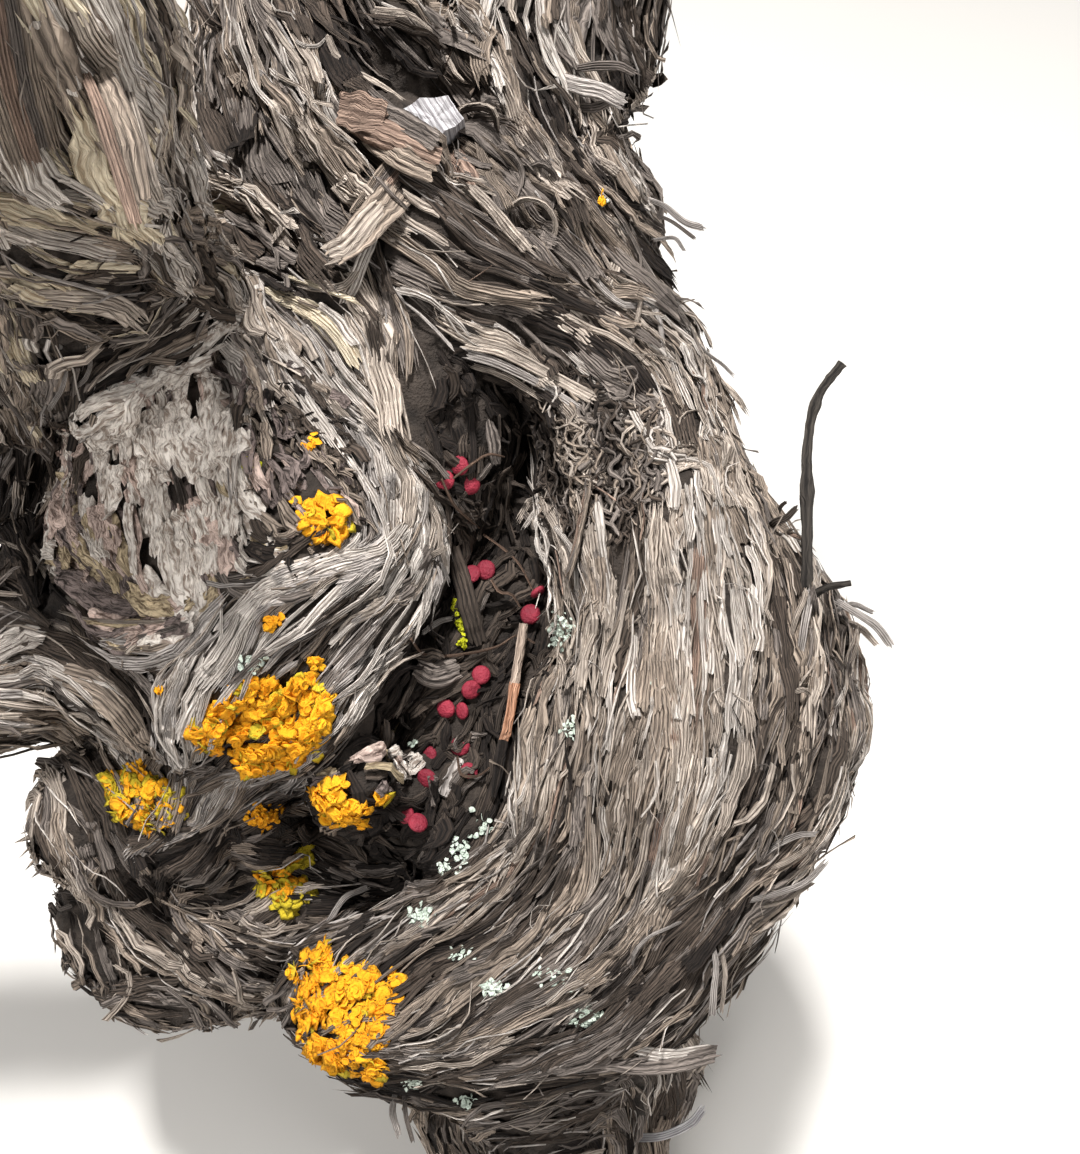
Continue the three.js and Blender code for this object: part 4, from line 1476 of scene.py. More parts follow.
@dataclass
class Bark:
    """The whole bark: which strips lie where."""

    skin: Skin

    def within(self, x: float, y: float, wide: float, tall: float, soft: float = 0.3) -> np.ndarray:
        """Weigh faces by whether they show inside an ellipse of the photograph's frame.

        Args:
            x: The ellipse's middle.
            y: The ellipse's middle.
            wide: Half its width.
            tall: Half its height.
            soft: How wide its edge is, as a share.

        Returns:
            A weight from 0 to 1 for each face.
        """
        seen = VIEW.seen(self.skin.centres)
        away = np.hypot((seen[:, 0] - x) / wide, (seen[:, 1] - y) / tall)
        facing = dot(self.skin.normals, unit(VIEW.eye - self.skin.centres))[:, 0]
        near = VIEW.depth(self.skin.centres) > -0.13
        return np.clip((1 + soft - away) / soft, 0, 1) * (facing > -0.15) * near

    def on(self, *names: str) -> np.ndarray:
        """Mark the faces that are nearest to the named limbs."""
        numbers = [WOOD_NODES.index(name) for name in names]
        return np.isin(self.skin.limb, numbers).astype(float)

    def build(self) -> None:
        """Lay each kind of strip in its place."""
        skin = self.skin
        sight = unit(VIEW.eye - skin.centres)
        seen = VIEW.seen(skin.centres)
        in_frame = (seen[:, 0] > -90) & (seen[:, 0] < 1000) & (seen[:, 1] > -90) & (seen[:, 1] < 1240)
        depth = VIEW.depth(skin.centres)
        front = ((dot(skin.normals, sight)[:, 0] > -0.2) & in_frame & (depth > -0.15)).astype(float)
        hollow = inside(seen, HOLLOW, 14) * (depth > -0.13)
        knob = self.on("wound_knob")
        face_cut = knob * self.within(138, 492, 100, 128)
        crust = knob * self.within(284, 470, 58, 92) * (1 - face_cut)
        curls = self.within(600, 440, 62, 64)
        mess = self.within(210, 270, 90, 60)
        pale = self.within(374, 768, 34, 15)
        low = np.clip(self.on("low_burl", "knob_skirt") + self.within(200, 900, 150, 110), 0, 1)
        lower_rim = np.clip(self.within(540, 1010, 280, 130) + 0.8 * self.within(690, 930, 120, 80), 0, 1)
        right = np.clip(self.on("shoulder") + self.within(700, 650, 170, 240), 0, 1) * (1 - lower_rim)
        near = self.on("near_arm") * (1 - knob)
        shady = near * inside(seen, ((-90, 300), (150, 320), (170, 420), (90, 700), (-90, 700)), 40)
        low = np.clip(low + shady, 0, 1)
        spurs = np.array([node_verts(f"spur_{number}").mean(axis=0) for number in range(1, 10)])
        ends = np.linalg.norm(skin.centres[:, None] - spurs, axis=2).min(axis=1) < 48 * MM
        ends = ends * ((seen.min(axis=1) < -20) | (seen[:, 1] > 1180) | (front < 1))
        plain = front * (1 - hollow) * (1 - face_cut) * (1 - crust)
        for fold in FOLDS:
            if fold.height < 0:
                plain = plain * (1 - 0.9 * fold.nearness(seen, 0.85))
        upper = (1 - right) * (1 - knob) * (1 - low) * (1 - lower_rim) * (1 - 0.5 * mess) * (1 - near)
        right_bark = plain * right * (1 - curls)
        left_bark = plain * (1 - right) * (1 - curls)
        near_bark = plain * near * (1 - shady)
        fibre = dict(columns=3, steps=5, thick=0.15 * MM, ridge=0.5 * MM, taper=0.9, lift=3 * MM)
        small = dict(columns=6, steps=6, thick=0.4 * MM)
        flake = dict(columns=7, steps=5, regular=0.2, ragged=0.12)
        sheet = dict(
            columns=15, steps=11, ridge=0.85 * MM, lift=2 * MM, wander=0.06, chaos=0.05, ragged=0.07,
            twist=0.05, drape=0.9, comb=1.3, cup=(-0.02, 0.12), regular=0.55, split=1.3,
        )
        # Each kind's name, place, seed, cover, lengths, widths, tones and what else it is
        kinds = (
            ("sheets_behind", (1 - front) * (1 - 0.9 * hollow), 71, 2, (0.024, 0.050), (0.005, 0.013), BACK,
             sheet | dict(columns=9, steps=5, lift=MM)),
            ("strips_ends", ends, 99, 2.4, (0.012, 0.030), (0.003, 0.008), BACK,
             dict(columns=7, steps=4, chaos=0.7, lift=2 * MM, drape=0.9, comb=1, ridge=0.7 * MM)),
            ("sheets_right", right_bark, 90, 1.7, (0.018, 0.052), (0.0035, 0.0095), BRIGHT, sheet),
            ("sheets_low", plain * lower_rim, 92, 1.7, (0.020, 0.05), (0.0035, 0.009), LOWLIGHT, sheet),
            ("sheets_knob", plain * knob, 93, 2.1, (0.018, 0.046), (0.0032, 0.008), ASHEN, sheet),
            ("sheets_upper", plain * upper, 94, 1.7, (0.020, 0.055), (0.004, 0.010), DIM,
             sheet | dict(chaos=0.12, tip_lift=3 * MM, wander=0.09)),
            ("sheets_near", near_bark, 96, 1.5, (0.020, 0.06), (0.004, 0.010), PALE_AND_LIT,
             sheet | dict(columns=13)),
            ("sheets_burl", plain * low, 98, 1.7, (0.012, 0.034), (0.003, 0.008), GLOOMY,
             sheet | dict(columns=13, steps=7, chaos=0.25)),
            ("strips_right", right_bark, 73, 1.3, (0.009, 0.032), (0.0010, 0.0032), SUNLIT,
             small | dict(lift=2.6 * MM)),
            ("strips_low", plain * lower_rim, 74, 1.5, (0.012, 0.036), (0.0010, 0.0028), LOWLIGHT,
             small | dict(lift=3 * MM)),
            ("strips_knob", plain * knob, 75, 1.6, (0.012, 0.036), (0.001, 0.003), ASHEN,
             small | dict(lift=2.4 * MM)),
            ("strips_upper", plain * upper, 87, 1.0, (0.010, 0.034), (0.0011, 0.0034), SHADED,
             small | dict(lift=3 * MM, tip_lift=2.4 * MM)),
            ("strips_near", near_bark, 88, 0.8, (0.012, 0.04), (0.0014, 0.004), PALE_AND_LIT,
             small | dict(tip_lift=2 * MM)),
            ("strips_burl", plain * low, 77, 0.9, (0.010, 0.026), (0.0014, 0.004), GLOOMY,
             dict(lift=2.6 * MM, tip_lift=2.6 * MM, chaos=0.4, columns=6, steps=5)),
            ("wound_plates", face_cut, 83, 4.4, (0.009, 0.024), (0.004, 0.010), PLATES,
             dict(columns=11, steps=8, thick=0.9 * MM, ridge=0.5 * MM, lift=2.6 * MM, chaos=0.07,
                  wander=0.03, ragged=0.1, regular=0.1, ripple=0.2 * MM, drape=0.9, comb=0.5,
                  cup=(0, 0.06), falling=0.5)),
            ("wound_flakes", face_cut, 84, 0.5, (0.005, 0.016), (0.0015, 0.0045), PLATES,
             flake | dict(lift=3 * MM, chaos=0.2)),
            ("wound_crust", crust, 89, 2.6, (0.003, 0.010), (0.0014, 0.0042), CRUSTS,
             dict(columns=6, steps=4, lift=2.6 * MM, chaos=0.6, taper=0.8, ragged=0.2, regular=0.2,
                  ripple=0.3 * MM)),
            ("hollow_pale", front * pale, 70, 3, (0.004, 0.010), (0.002, 0.005), PLATES,
             flake | dict(lift=4 * MM, chaos=0.4, ripple=0.3 * MM)),
            ("hollow_chips", hollow * front, 85, 1.5, (0.005, 0.016), (0.0016, 0.006), MURK,
             dict(columns=7, steps=4, lift=2.5 * MM, chaos=1.6, twist=0.4, tip_lift=3 * MM, taper=0.8)),
            ("hollow_strips", hollow * front, 86, 0.7, (0.014, 0.03), (0.0014, 0.0036), MURK,
             dict(columns=7, chaos=0.3)),
            ("strips_curled", plain * curls, 78, 3.0, (0.008, 0.020), (0.0007, 0.0015), SHADED,
             dict(wander=0.9, chaos=0.5, columns=3, steps=9, thick=0.15 * MM, ridge=0.5 * MM,
                  lift=2.5 * MM)),
            ("strips_messy", plain * mess, 79, 1.6, (0.010, 0.030), (0.0012, 0.004), GLOOMY,
             dict(columns=5, wander=0.2, chaos=0.4, lift=3 * MM)),
            ("fibres_right", right_bark, 80, 0.5, (0.008, 0.028), (0.0005, 0.0011), SUNLIT,
             fibre | dict(wander=0.12, chaos=0.12)),
            ("fibres_left", left_bark, 81, 0.22, (0.010, 0.030), (0.0005, 0.0011), ASHEN,
             fibre | dict(wander=0.14, chaos=0.16)),
            ("hairs", plain, 82, 0.03, (0.008, 0.022), (0.0004, 0.0007), SUNLIT,
             fibre | dict(tip_lift=4.5 * MM, wander=0.5, chaos=0.5)),
        )
        for name, weight, seed, *sizes, extra in kinds:
            strips = BarkStrips(skin, name, Thatch(*sizes, **extra), np.clip(weight, 0, 1), seed)
            if name.startswith("hollow"):
                strips.kept_clear = ()
            strips.build()


@dataclass
class Stem:
    """A round stem that follows a few places smoothly."""

    places: np.ndarray
    radii: tuple[float, ...]
    sides: int = 8
    step: float = 1.6 * MM
    rough: float = 0.07
    joints: tuple[float, ...] = ()
    joint_swell: float = 0.45
    joint_reach: float = 0.035

    def add_to(self, batch: Batch, finish: Tone | Plain, rng: np.random.Generator) -> None:
        """Shape the stem and put it in a batch.

        Args:
            batch: Where it goes.
            finish: Its finish.
            rng: The random numbers for its small bumps.
        """
        length = path_length(self.places)
        rings = max(4, int(length / self.step) + 1)
        path = smooth_path(self.places, rings)
        tangent = unit(np.gradient(path, axis=0))
        t = np.linspace(0, 1, rings)
        radius = np.interp(t, np.linspace(0, 1, len(self.radii)), self.radii)
        for joint in self.joints:
            radius = radius * (1 + self.joint_swell * np.exp(-(((t - joint) / self.joint_reach) ** 2)))
        side = np.empty_like(path)
        last = np.cross(tangent[0], unit(np.array([0.3, 0.9, 0.2])))
        for k in range(rings):
            last = unit(last - tangent[k] * (last @ tangent[k]))
            side[k] = last
        other = np.cross(tangent, side)
        angle = np.arange(self.sides) / self.sides * 2 * math.pi
        groove = 1 + self.rough * rng.normal(0, 1, (1, self.sides))
        groove = groove + self.rough * rng.normal(0, 0.6, (rings, self.sides))
        reach = radius[:, None] * groove
        verts = (
            path[:, None]
            + side[:, None] * (reach * np.cos(angle))[..., None]
            + other[:, None] * (reach * np.sin(angle))[..., None]
        )
        over = np.broadcast_to(np.arange(self.sides) * 0.5, (rings, self.sides))
        places = np.stack([np.broadcast_to((t * length)[:, None], over.shape), over], axis=-1)
        faces = tube_faces(rings, self.sides)
        batch.add(verts.reshape(1, -1, 3), places.reshape(1, -1, 2), faces, batch.look(finish))


@dataclass(frozen=True)
class Dish:
    """A small round form turned about its own axis, with a ragged rim where asked for."""

    rings: Line
    foot: float
    middle: float
    sides: int = 10
    ragged: float = 0.0
    stretch: float = 0.0

    def add_to(
        self,
        batch: Batch,
        looks: np.ndarray,
        places: np.ndarray,
        normals: np.ndarray,
        angles: np.ndarray,
        sizes: np.ndarray,
        rng: np.random.Generator,
    ) -> None:
        """Put one dish at each place.

        Args:
            batch: Where they go.
            looks: Each one's slot number.
            places: Where each one sits.
            normals: Which way each one faces.
            angles: How far each one is turned.
            sizes: Each one's radius.
            rng: The random numbers for ragged rims.
        """
        count, sides = len(places), self.sides
        aside, ahead = spread_axes(normals, angles)
        theta = np.arange(sides) / sides * 2 * math.pi
        wave = 1 + self.ragged * rng.normal(0, 1, (count, sides))
        lift = self.ragged * rng.normal(0.2, 0.8, (count, sides))
        flat = len(self.rings) * sides
        local = np.zeros((count, flat + 2, 3))
        for number, (reach, height) in enumerate(self.rings):
            part = slice(number * sides, (number + 1) * sides)
            local[:, part, 0] = reach * np.sin(theta) * wave * (1 - 0.35 * self.stretch)
            local[:, part, 1] = reach * (np.cos(theta) * wave + self.stretch) * (1 + 0.2 * self.stretch)
            local[:, part, 2] = height + lift * reach * (0.4 + 0.6 * (np.cos(theta) > -0.5))
        local[:, flat, 2] = self.foot
        local[:, flat + 1, 2] = self.middle
        local[:, flat + 1, 1] = 0.5 * self.stretch
        local *= sizes[:, None, None]
        verts = (
            places[:, None]
            + aside[:, None] * local[..., :1]
            + ahead[:, None] * local[..., 1:2]
            + normals[:, None] * local[..., 2:]
        )
        batch.add(verts, local[..., :2], fan_faces(sides, len(self.rings)), looks)


LOBE = Dish(((1.0, 0.2), (0.6, 0.12)), foot=-0.3, middle=0.02, sides=8, ragged=0.16, stretch=0.5)
CUP = Dish(((0.5, 0.0), (1.0, 0.72), (0.84, 0.88), (0.64, 0.68)), foot=-0.2, middle=0.56, sides=9)
BEAD = Dish(
    ((0.55, -0.33), (0.88, -0.2), (1.0, 0.0), (0.88, 0.22), (0.55, 0.36)), foot=-0.38, middle=0.4, sides=14
)


@dataclass
class Lichen:
    """The orange lichen: ruffled lobes that overlap outwards from a middle full of cups."""

    skin: Skin
    lobe_size: tuple[float, float] = (1.3 * MM, 2.7 * MM)
    cup_size: tuple[float, float] = (0.8 * MM, 1.5 * MM)
    lobe_area: float = 1.0 * MM**2
    heap: float = 2.4 * MM
    seed: int = 41
    cushions: tuple[tuple[str, float, float], ...] = (
        ("lichen_1", 0.14, 0.15),
        ("lichen_2", 0.12, 0.1),
        ("lichen_3", 0.05, 0.5),
        ("lichen_4", 0.14, 0.1),
        ("lichen_5", 0.03, 0.8),
        ("lichen_6", 0.03, 0.1),
    )
    patches: dict[str, Course] = field(
        default_factory=lambda: {
            "lichen_6": (
                (318, 516, 13), (327, 528, 9), (336, 520, 9), (333, 496, 8), (314, 488, 7), (300, 498, 8),
            ),
        }
    )

    def build(self) -> None:
        """Grow every cushion in the place of its solid."""
        for number, (name, cups, olive) in enumerate(self.cushions):
            rng = np.random.default_rng(self.seed + number)
            self.grow(name, cups, olive, rng)

    def grow(self, name: str, cups: float, olive: float, rng: np.random.Generator) -> None:
        """Grow one cushion over the solid of its name.

        Args:
            name: The solid.
            cups: The share of cups among its lobes.
            olive: The share of olive lobes.
            rng: The random numbers.
        """
        verts, faces = node_verts(name), node_faces(name)
        corners = verts[faces]
        cross = np.cross(corners[:, 1] - corners[:, 0], corners[:, 2] - corners[:, 0])
        area = np.linalg.norm(cross, axis=1) / 2
        facing = unit(cross)
        middle = verts.mean(axis=0)
        _, ground, _, _ = self.skin.tree.find_nearest(middle.tolist())
        out = np.array(ground)
        share = area * np.clip(facing @ out, 0, 1)
        count = int(share.sum() / self.lobe_area)
        picked = rng.choice(len(faces), count, p=share / share.sum())
        blend = rng.dirichlet((1, 1, 1), count)
        spots = (corners[picked] * blend[..., None]).sum(axis=1)
        if name in self.patches:
            seen = VIEW.seen(spots)
            gaps = [np.hypot(*(seen - (x, y)).T) / reach for x, y, reach in self.patches[name]]
            spots = spots[np.min(gaps, axis=0) < 1]
            count = len(spots)
        reach = np.linalg.norm(verts - middle, axis=1).max()
        away = spots - middle
        inward = 1 - np.clip(np.linalg.norm(away, axis=1) / reach, 0, 1)
        places, under = self.skin.find(spots)
        normals = self.skin.normals[under]
        heap = self.heap * (0.25 + inward * rng.uniform(0.5, 1.4, count)) * rng.uniform(0.4, 1, count)
        places = places + normals * (heap + 1.2 * MM)[:, None]
        tilt = unit(away - normals * dot(away, normals))
        lean = unit(normals + 0.35 * tilt + rng.normal(0, 0.35, (count, 3)))
        aside, ahead = spread_axes(lean, np.zeros(count))
        angles = np.arctan2(-dot(tilt, aside)[:, 0], dot(tilt, ahead)[:, 0]) + rng.normal(0, 0.8, count)
        batch = Batch(f"{name}_growth")
        orange, green, cup = batch.look(Plain.LOBE, Plain.OLIVE, Plain.CUP)
        is_cup = rng.random(count) < cups * (0.4 + 1.2 * inward)
        looks = np.where(rng.random(count) < olive * (1.4 - inward), green, orange)
        for form, chosen, sizes in ((LOBE, ~is_cup, self.lobe_size), (CUP, is_cup, self.cup_size)):
            if not chosen.any():
                continue
            shades = looks[chosen] if form is LOBE else np.full(chosen.sum(), cup)
            lift = 0.0 if form is LOBE else 0.6 * MM
            form.add_to(
                batch, shades, places[chosen] + lean[chosen] * lift, lean[chosen], angles[chosen],
                rng.uniform(*sizes, chosen.sum()), rng,
            )
        batch.build(name)


@dataclass
class Fruit:
    """The small crimson fruit that lie in the hollow, each a flat bead."""

    skin: Skin
    radius: float = 2.75 * MM
    seed: int = 61
    sprays: tuple[tuple[str, Line], ...] = (
        ("spray_1", ((-25.7, 26), (-21.8, 30), (-19, 25))),
        ("spray_2", ((-19.6, 0.8), (-15.4, 2))),
        ("spray_3", ((-0.6, -4.2), (-2.8, -10.6))),
        ("spray_4", ((-26.6, -37.2), (-22, -37.8), (-19.4, -31.8), (-16.6, -27.6))),
        ("spray_5", ((-31.8, -56.6), (-31.4, -50.4), (-22.6, -48), (-20, -54.8))),
        ("spray_6", ((-37.2, -66.4), (-33.8, -68))),
    )

    def build(self) -> None:
        """Lay each spray's beads where its solid has them, tipped each its own way."""
        rng = np.random.default_rng(self.seed)
        for name, spots in self.sprays:
            tree = BVHTree.FromPolygons(node_verts(name).tolist(), node_faces(name).tolist())
            batch = Batch(f"{name}_beads")
            look = batch.look(Plain.FRUIT)
            places = []
            for right, up in spots:
                start = on_head((right, up, 60))[0]
                hit, _, _, _ = tree.ray_cast(start.tolist(), (-VIEW.out).tolist())
                top = np.array(hit) if hit is not None else on_head((right, up, -44))[0]
                places.append(top + VIEW.out * self.radius * 0.5)
            count = len(places)
            normals = unit(VIEW.out + rng.normal(0, 0.42, (count, 3)))
            sizes = self.radius * rng.uniform(0.9, 1.1, count)
            angles = rng.uniform(0, 6, count)
            BEAD.add_to(batch, np.full(count, look), np.array(places), normals, angles, sizes, rng)
            batch.build(name)


@dataclass
class Specks:
    """Small crusts of lichen, each a scatter of tiny lobes: where, how wide and tall, and how many."""

    skin: Skin
    name: str
    finish: Plain
    size: tuple[float, float]
    seed: int
    spots: tuple[tuple[float, float, float, float, int], ...]

    def build(self) -> None:
        """Scatter the tiny lobes over each spot of the photograph's frame."""
        rng = np.random.default_rng(self.seed)
        batch = Batch(self.name)
        look = batch.look(self.finish)
        for x, y, wide, tall, count in self.spots:
            offsets = rng.normal(0, 0.5, (count, 2)) * (wide, tall)
            hits = [self.skin.look(x + dx, y + dy) for dx, dy in offsets]
            places = np.array([hit[0] for hit in hits])
            normals = np.array([hit[1] for hit in hits])
            places = places + normals * rng.uniform(1.8, 2.9, (count, 1)) * MM
            lean = unit(normals + rng.normal(0, 0.4, (count, 3)))
            sizes = rng.uniform(*self.size, count)
            LOBE.add_to(batch, np.full(count, look), places, lean, rng.uniform(0, 6, count), sizes, rng)
        batch.build()


FROST_SPOTS = (
    (565, 632, 12, 18, 110), (575, 730, 10, 10, 30), (588, 1012, 16, 10, 90), (493, 988, 11, 7, 60),
    (425, 918, 14, 8, 60), (462, 850, 9, 14, 60), (415, 1074, 10, 6, 30), (552, 975, 20, 10, 26),
    (655, 690, 6, 6, 10), (465, 958, 10, 6, 24), (470, 1096, 10, 5, 20), (450, 868, 6, 10, 24),
    (480, 824, 6, 10, 20), (415, 742, 5, 5, 8), (250, 660, 10, 8, 24), (600, 205, 4, 4, 4),
)
GOLD_SPOTS = (
    (271, 621, 7, 5, 24), (309, 447, 5, 6, 14), (597, 205, 3, 5, 8), (262, 812, 12, 9, 70),
    (70, 742, 8, 3, 14), (140, 763, 5, 4, 10), (312, 660, 8, 5, 30),
)
MOSS_SPOTS = (
    (452, 606, 2, 8, 26), (460, 625, 3, 10, 30), (462, 642, 5, 4, 16), (255, 465, 9, 6, 14),
)


@dataclass
class DeadShoot:
    """The thin dead shoot that stands beside the head, with a short fork at its foot."""

    course: Course = (
        (68, -15, -34), (68.8, -7, -18), (69, 0, -11), (68.6, 20, -9), (68.6, 34, -8), (71, 46, -7),
        (77, 54.5, -6),
    )
    fork: Course = ((69, -8, -18), (73.5, -3, -11.5), (80, -1.5, -9))
    radii: tuple[float, ...] = (2.6 * MM, 1.7 * MM, 1.35 * MM, 1.3 * MM, 1.05 * MM, 1.2 * MM)
    seed: int = 91

    def build(self) -> None:
        """Build the shoot and its fork in the place of the solid."""
        rng = np.random.default_rng(self.seed)
        batch = Batch("dead_shoot_skin", rounded=False)
        shoot = Stem(on_head(*self.course), self.radii, joints=(0.2, 0.52, 0.8), rough=0.12)
        shoot.add_to(batch, Plain.DEAD, rng)
        Stem(on_head(*self.fork), (1.2 * MM, 1.1 * MM, 0.9 * MM), rough=0.14).add_to(batch, Plain.DEAD, rng)
        batch.build("dead_shoot")


@dataclass
class HollowLitter:
    """What lies in the hollow besides bark: a dry stalk, a stub and thin tendrils."""

    skin: Skin
    seed: int = 95
    stalk: Course = ((-4.6, -13, -37), (-5.4, -20, -37), (-7.2, -30, -37.4))
    lower: Course = ((-7.1, -29.5, -37.3), (-9, -41, -38), (-10.6, -47, -38.4))
    tip: Course = ((-10.4, -46, -38), (-11.6, -53, -35), (-13, -61, -34))
    tendrils: tuple[Course, ...] = (
        ((443, 480, 4), (455, 505, 6), (470, 520, 5), (482, 530, 4)),
        ((484, 535, 5), (505, 550, 6), (520, 565, 5), (533, 590, 3)),
        (
            (413, 638, 5), (424, 652, 5), (445, 655, 4), (470, 652, 5), (498, 645, 8), (518, 634, 8),
            (535, 642, 6),
        ),
        ((458, 755, 3), (462, 772, 4), (478, 774, 4), (490, 765, 5)),
        ((492, 580, 4), (500, 592, 5), (512, 594, 6), (520, 606, 7)),
        ((455, 480, 6), (475, 466, 9), (490, 458, 10), (505, 460, 9)),
    )

    def build(self) -> None:
        """Lay the stalk, its dark tip, the stub and the tendrils."""
        rng = np.random.default_rng(self.seed)
        batch = Batch("dry_stalk_skin", rounded=False)
        for course, radii, finish in (
            (self.stalk, (1.3, 1.4), Plain.STRAW), (self.lower, (1.45, 1.3), Plain.STEM),
            (self.tip, (1.4, 1.6, 0.7), Tone.SOOT),
        ):
            Stem(on_head(*course), tuple(np.array(radii) * MM), rough=0.12).add_to(batch, finish, rng)
        batch.build("dry_stalk")
        batch = Batch("tendrils", rounded=False)
        for course in self.tendrils:
            places = []
            for x, y, lift in course:
                place, _ = self.skin.look(x, y)
                places.append(place + VIEW.out * lift * MM)
            radii = (0.35 * MM, 0.45 * MM, 0.4 * MM, 0.28 * MM)
            Stem(np.array(places), radii, sides=5, rough=0.1).add_to(batch, Plain.TENDRIL, rng)
        stub = on_head((-22.5, -52, -42), (-25, -57, -39), (-27, -61.5, -37))
        Stem(stub, (2.2 * MM, 2.3 * MM, 2.1 * MM), rough=0.12).add_to(batch, Tone.GREY, rng)
        batch.build()


@dataclass
class Spurs:
    """The pruned spurs: short canes with swollen joints and flat cut ends."""

    count: int = 9
    seed: int = 97

    def build(self) -> None:
        """Build every spur in the place of its solid."""
        rng = np.random.default_rng(self.seed)
        for number in range(1, self.count + 1):
            name = f"spur_{number}"
            places, radii = middle_line(node_verts(name), 6)
            if places[0][2] > places[-1][2]:
                places, radii = places[::-1], radii[::-1]
            batch = Batch(f"{name}_skin", rounded=False)
            sizes = tuple(radii * (1.0, 0.98, 0.96, 0.95, 0.95, 0.97))
            Stem(places, sizes, sides=14, joints=(0.45, 0.86), joint_swell=0.22, rough=0.05).add_to(
                batch, Plain.CANE, rng
            )
            batch.build(name)


@dataclass
class Flaps:
    """Broad flaps of bark that have come away, each a few ribbons wide."""

    skin: Skin
    seed: int = 99
    ribbons: int = 4
    tones: tuple[Tone, ...] = (Tone.UMBER, Tone.RUDDY, Tone.DUSK, Tone.UMBER)
    names: tuple[str, ...] = ("bark_flap_1", "bark_flap_2", "bark_flap_3", "bark_flap_4")

    def build(self) -> None:
        """Lay each flap's ribbons along its solid."""
        rng = np.random.default_rng(self.seed)
        kind = Thatch(
            1, (0, 0), (0, 0), SUNLIT, columns=11, steps=9, lift=0.8 * MM, twist=0.05, ragged=0.04, comb=0.8
        )
        for name in self.names:
            verts = node_verts(name)
            line, _ = middle_line(verts, 5)
            path = smooth_path(line, kind.steps + 1)
            _, out, _, _ = self.skin.tree.find_nearest(verts.mean(axis=0).tolist())
            tangent = unit(np.gradient(path, axis=0))
            side = unit(np.cross(tangent, np.array(out)))
            wide = np.abs((verts - verts.mean(axis=0)) @ side.mean(axis=0)).max() * 2
            batch = Batch(f"{name}_ribbons", rounded=False)
            shift = np.linspace(-0.38, 0.38, self.ribbons) * wide
            paths = path[None] + side[None] * shift[:, None, None]
            normals = np.broadcast_to(np.array(out), paths.shape)
            length = np.full(self.ribbons, path_length(path))
            width = np.full(self.ribbons, wide / self.ribbons * 1.5)
            strips = BarkStrips(self.skin, name, kind, np.ones(1), self.seed)
            shaped = strips.shape(rng, paths, normals, length, width, rng.random(self.ribbons))
            batch.add(*shaped, kind.tube, batch.look(*self.tones))
            batch.build(name)


@dataclass(frozen=True)
class Peel:
    """A piece of bark that has come away, as wide as it says, in millimetres.

    Each place is x and y in the photograph's frame and a height in millimetres towards the eye: over
    the bark right under it, or where the piece is free, over its root.
    """

    width: float
    tone: Tone
    places: Course
    free: bool = False
    turn: float = 0.0


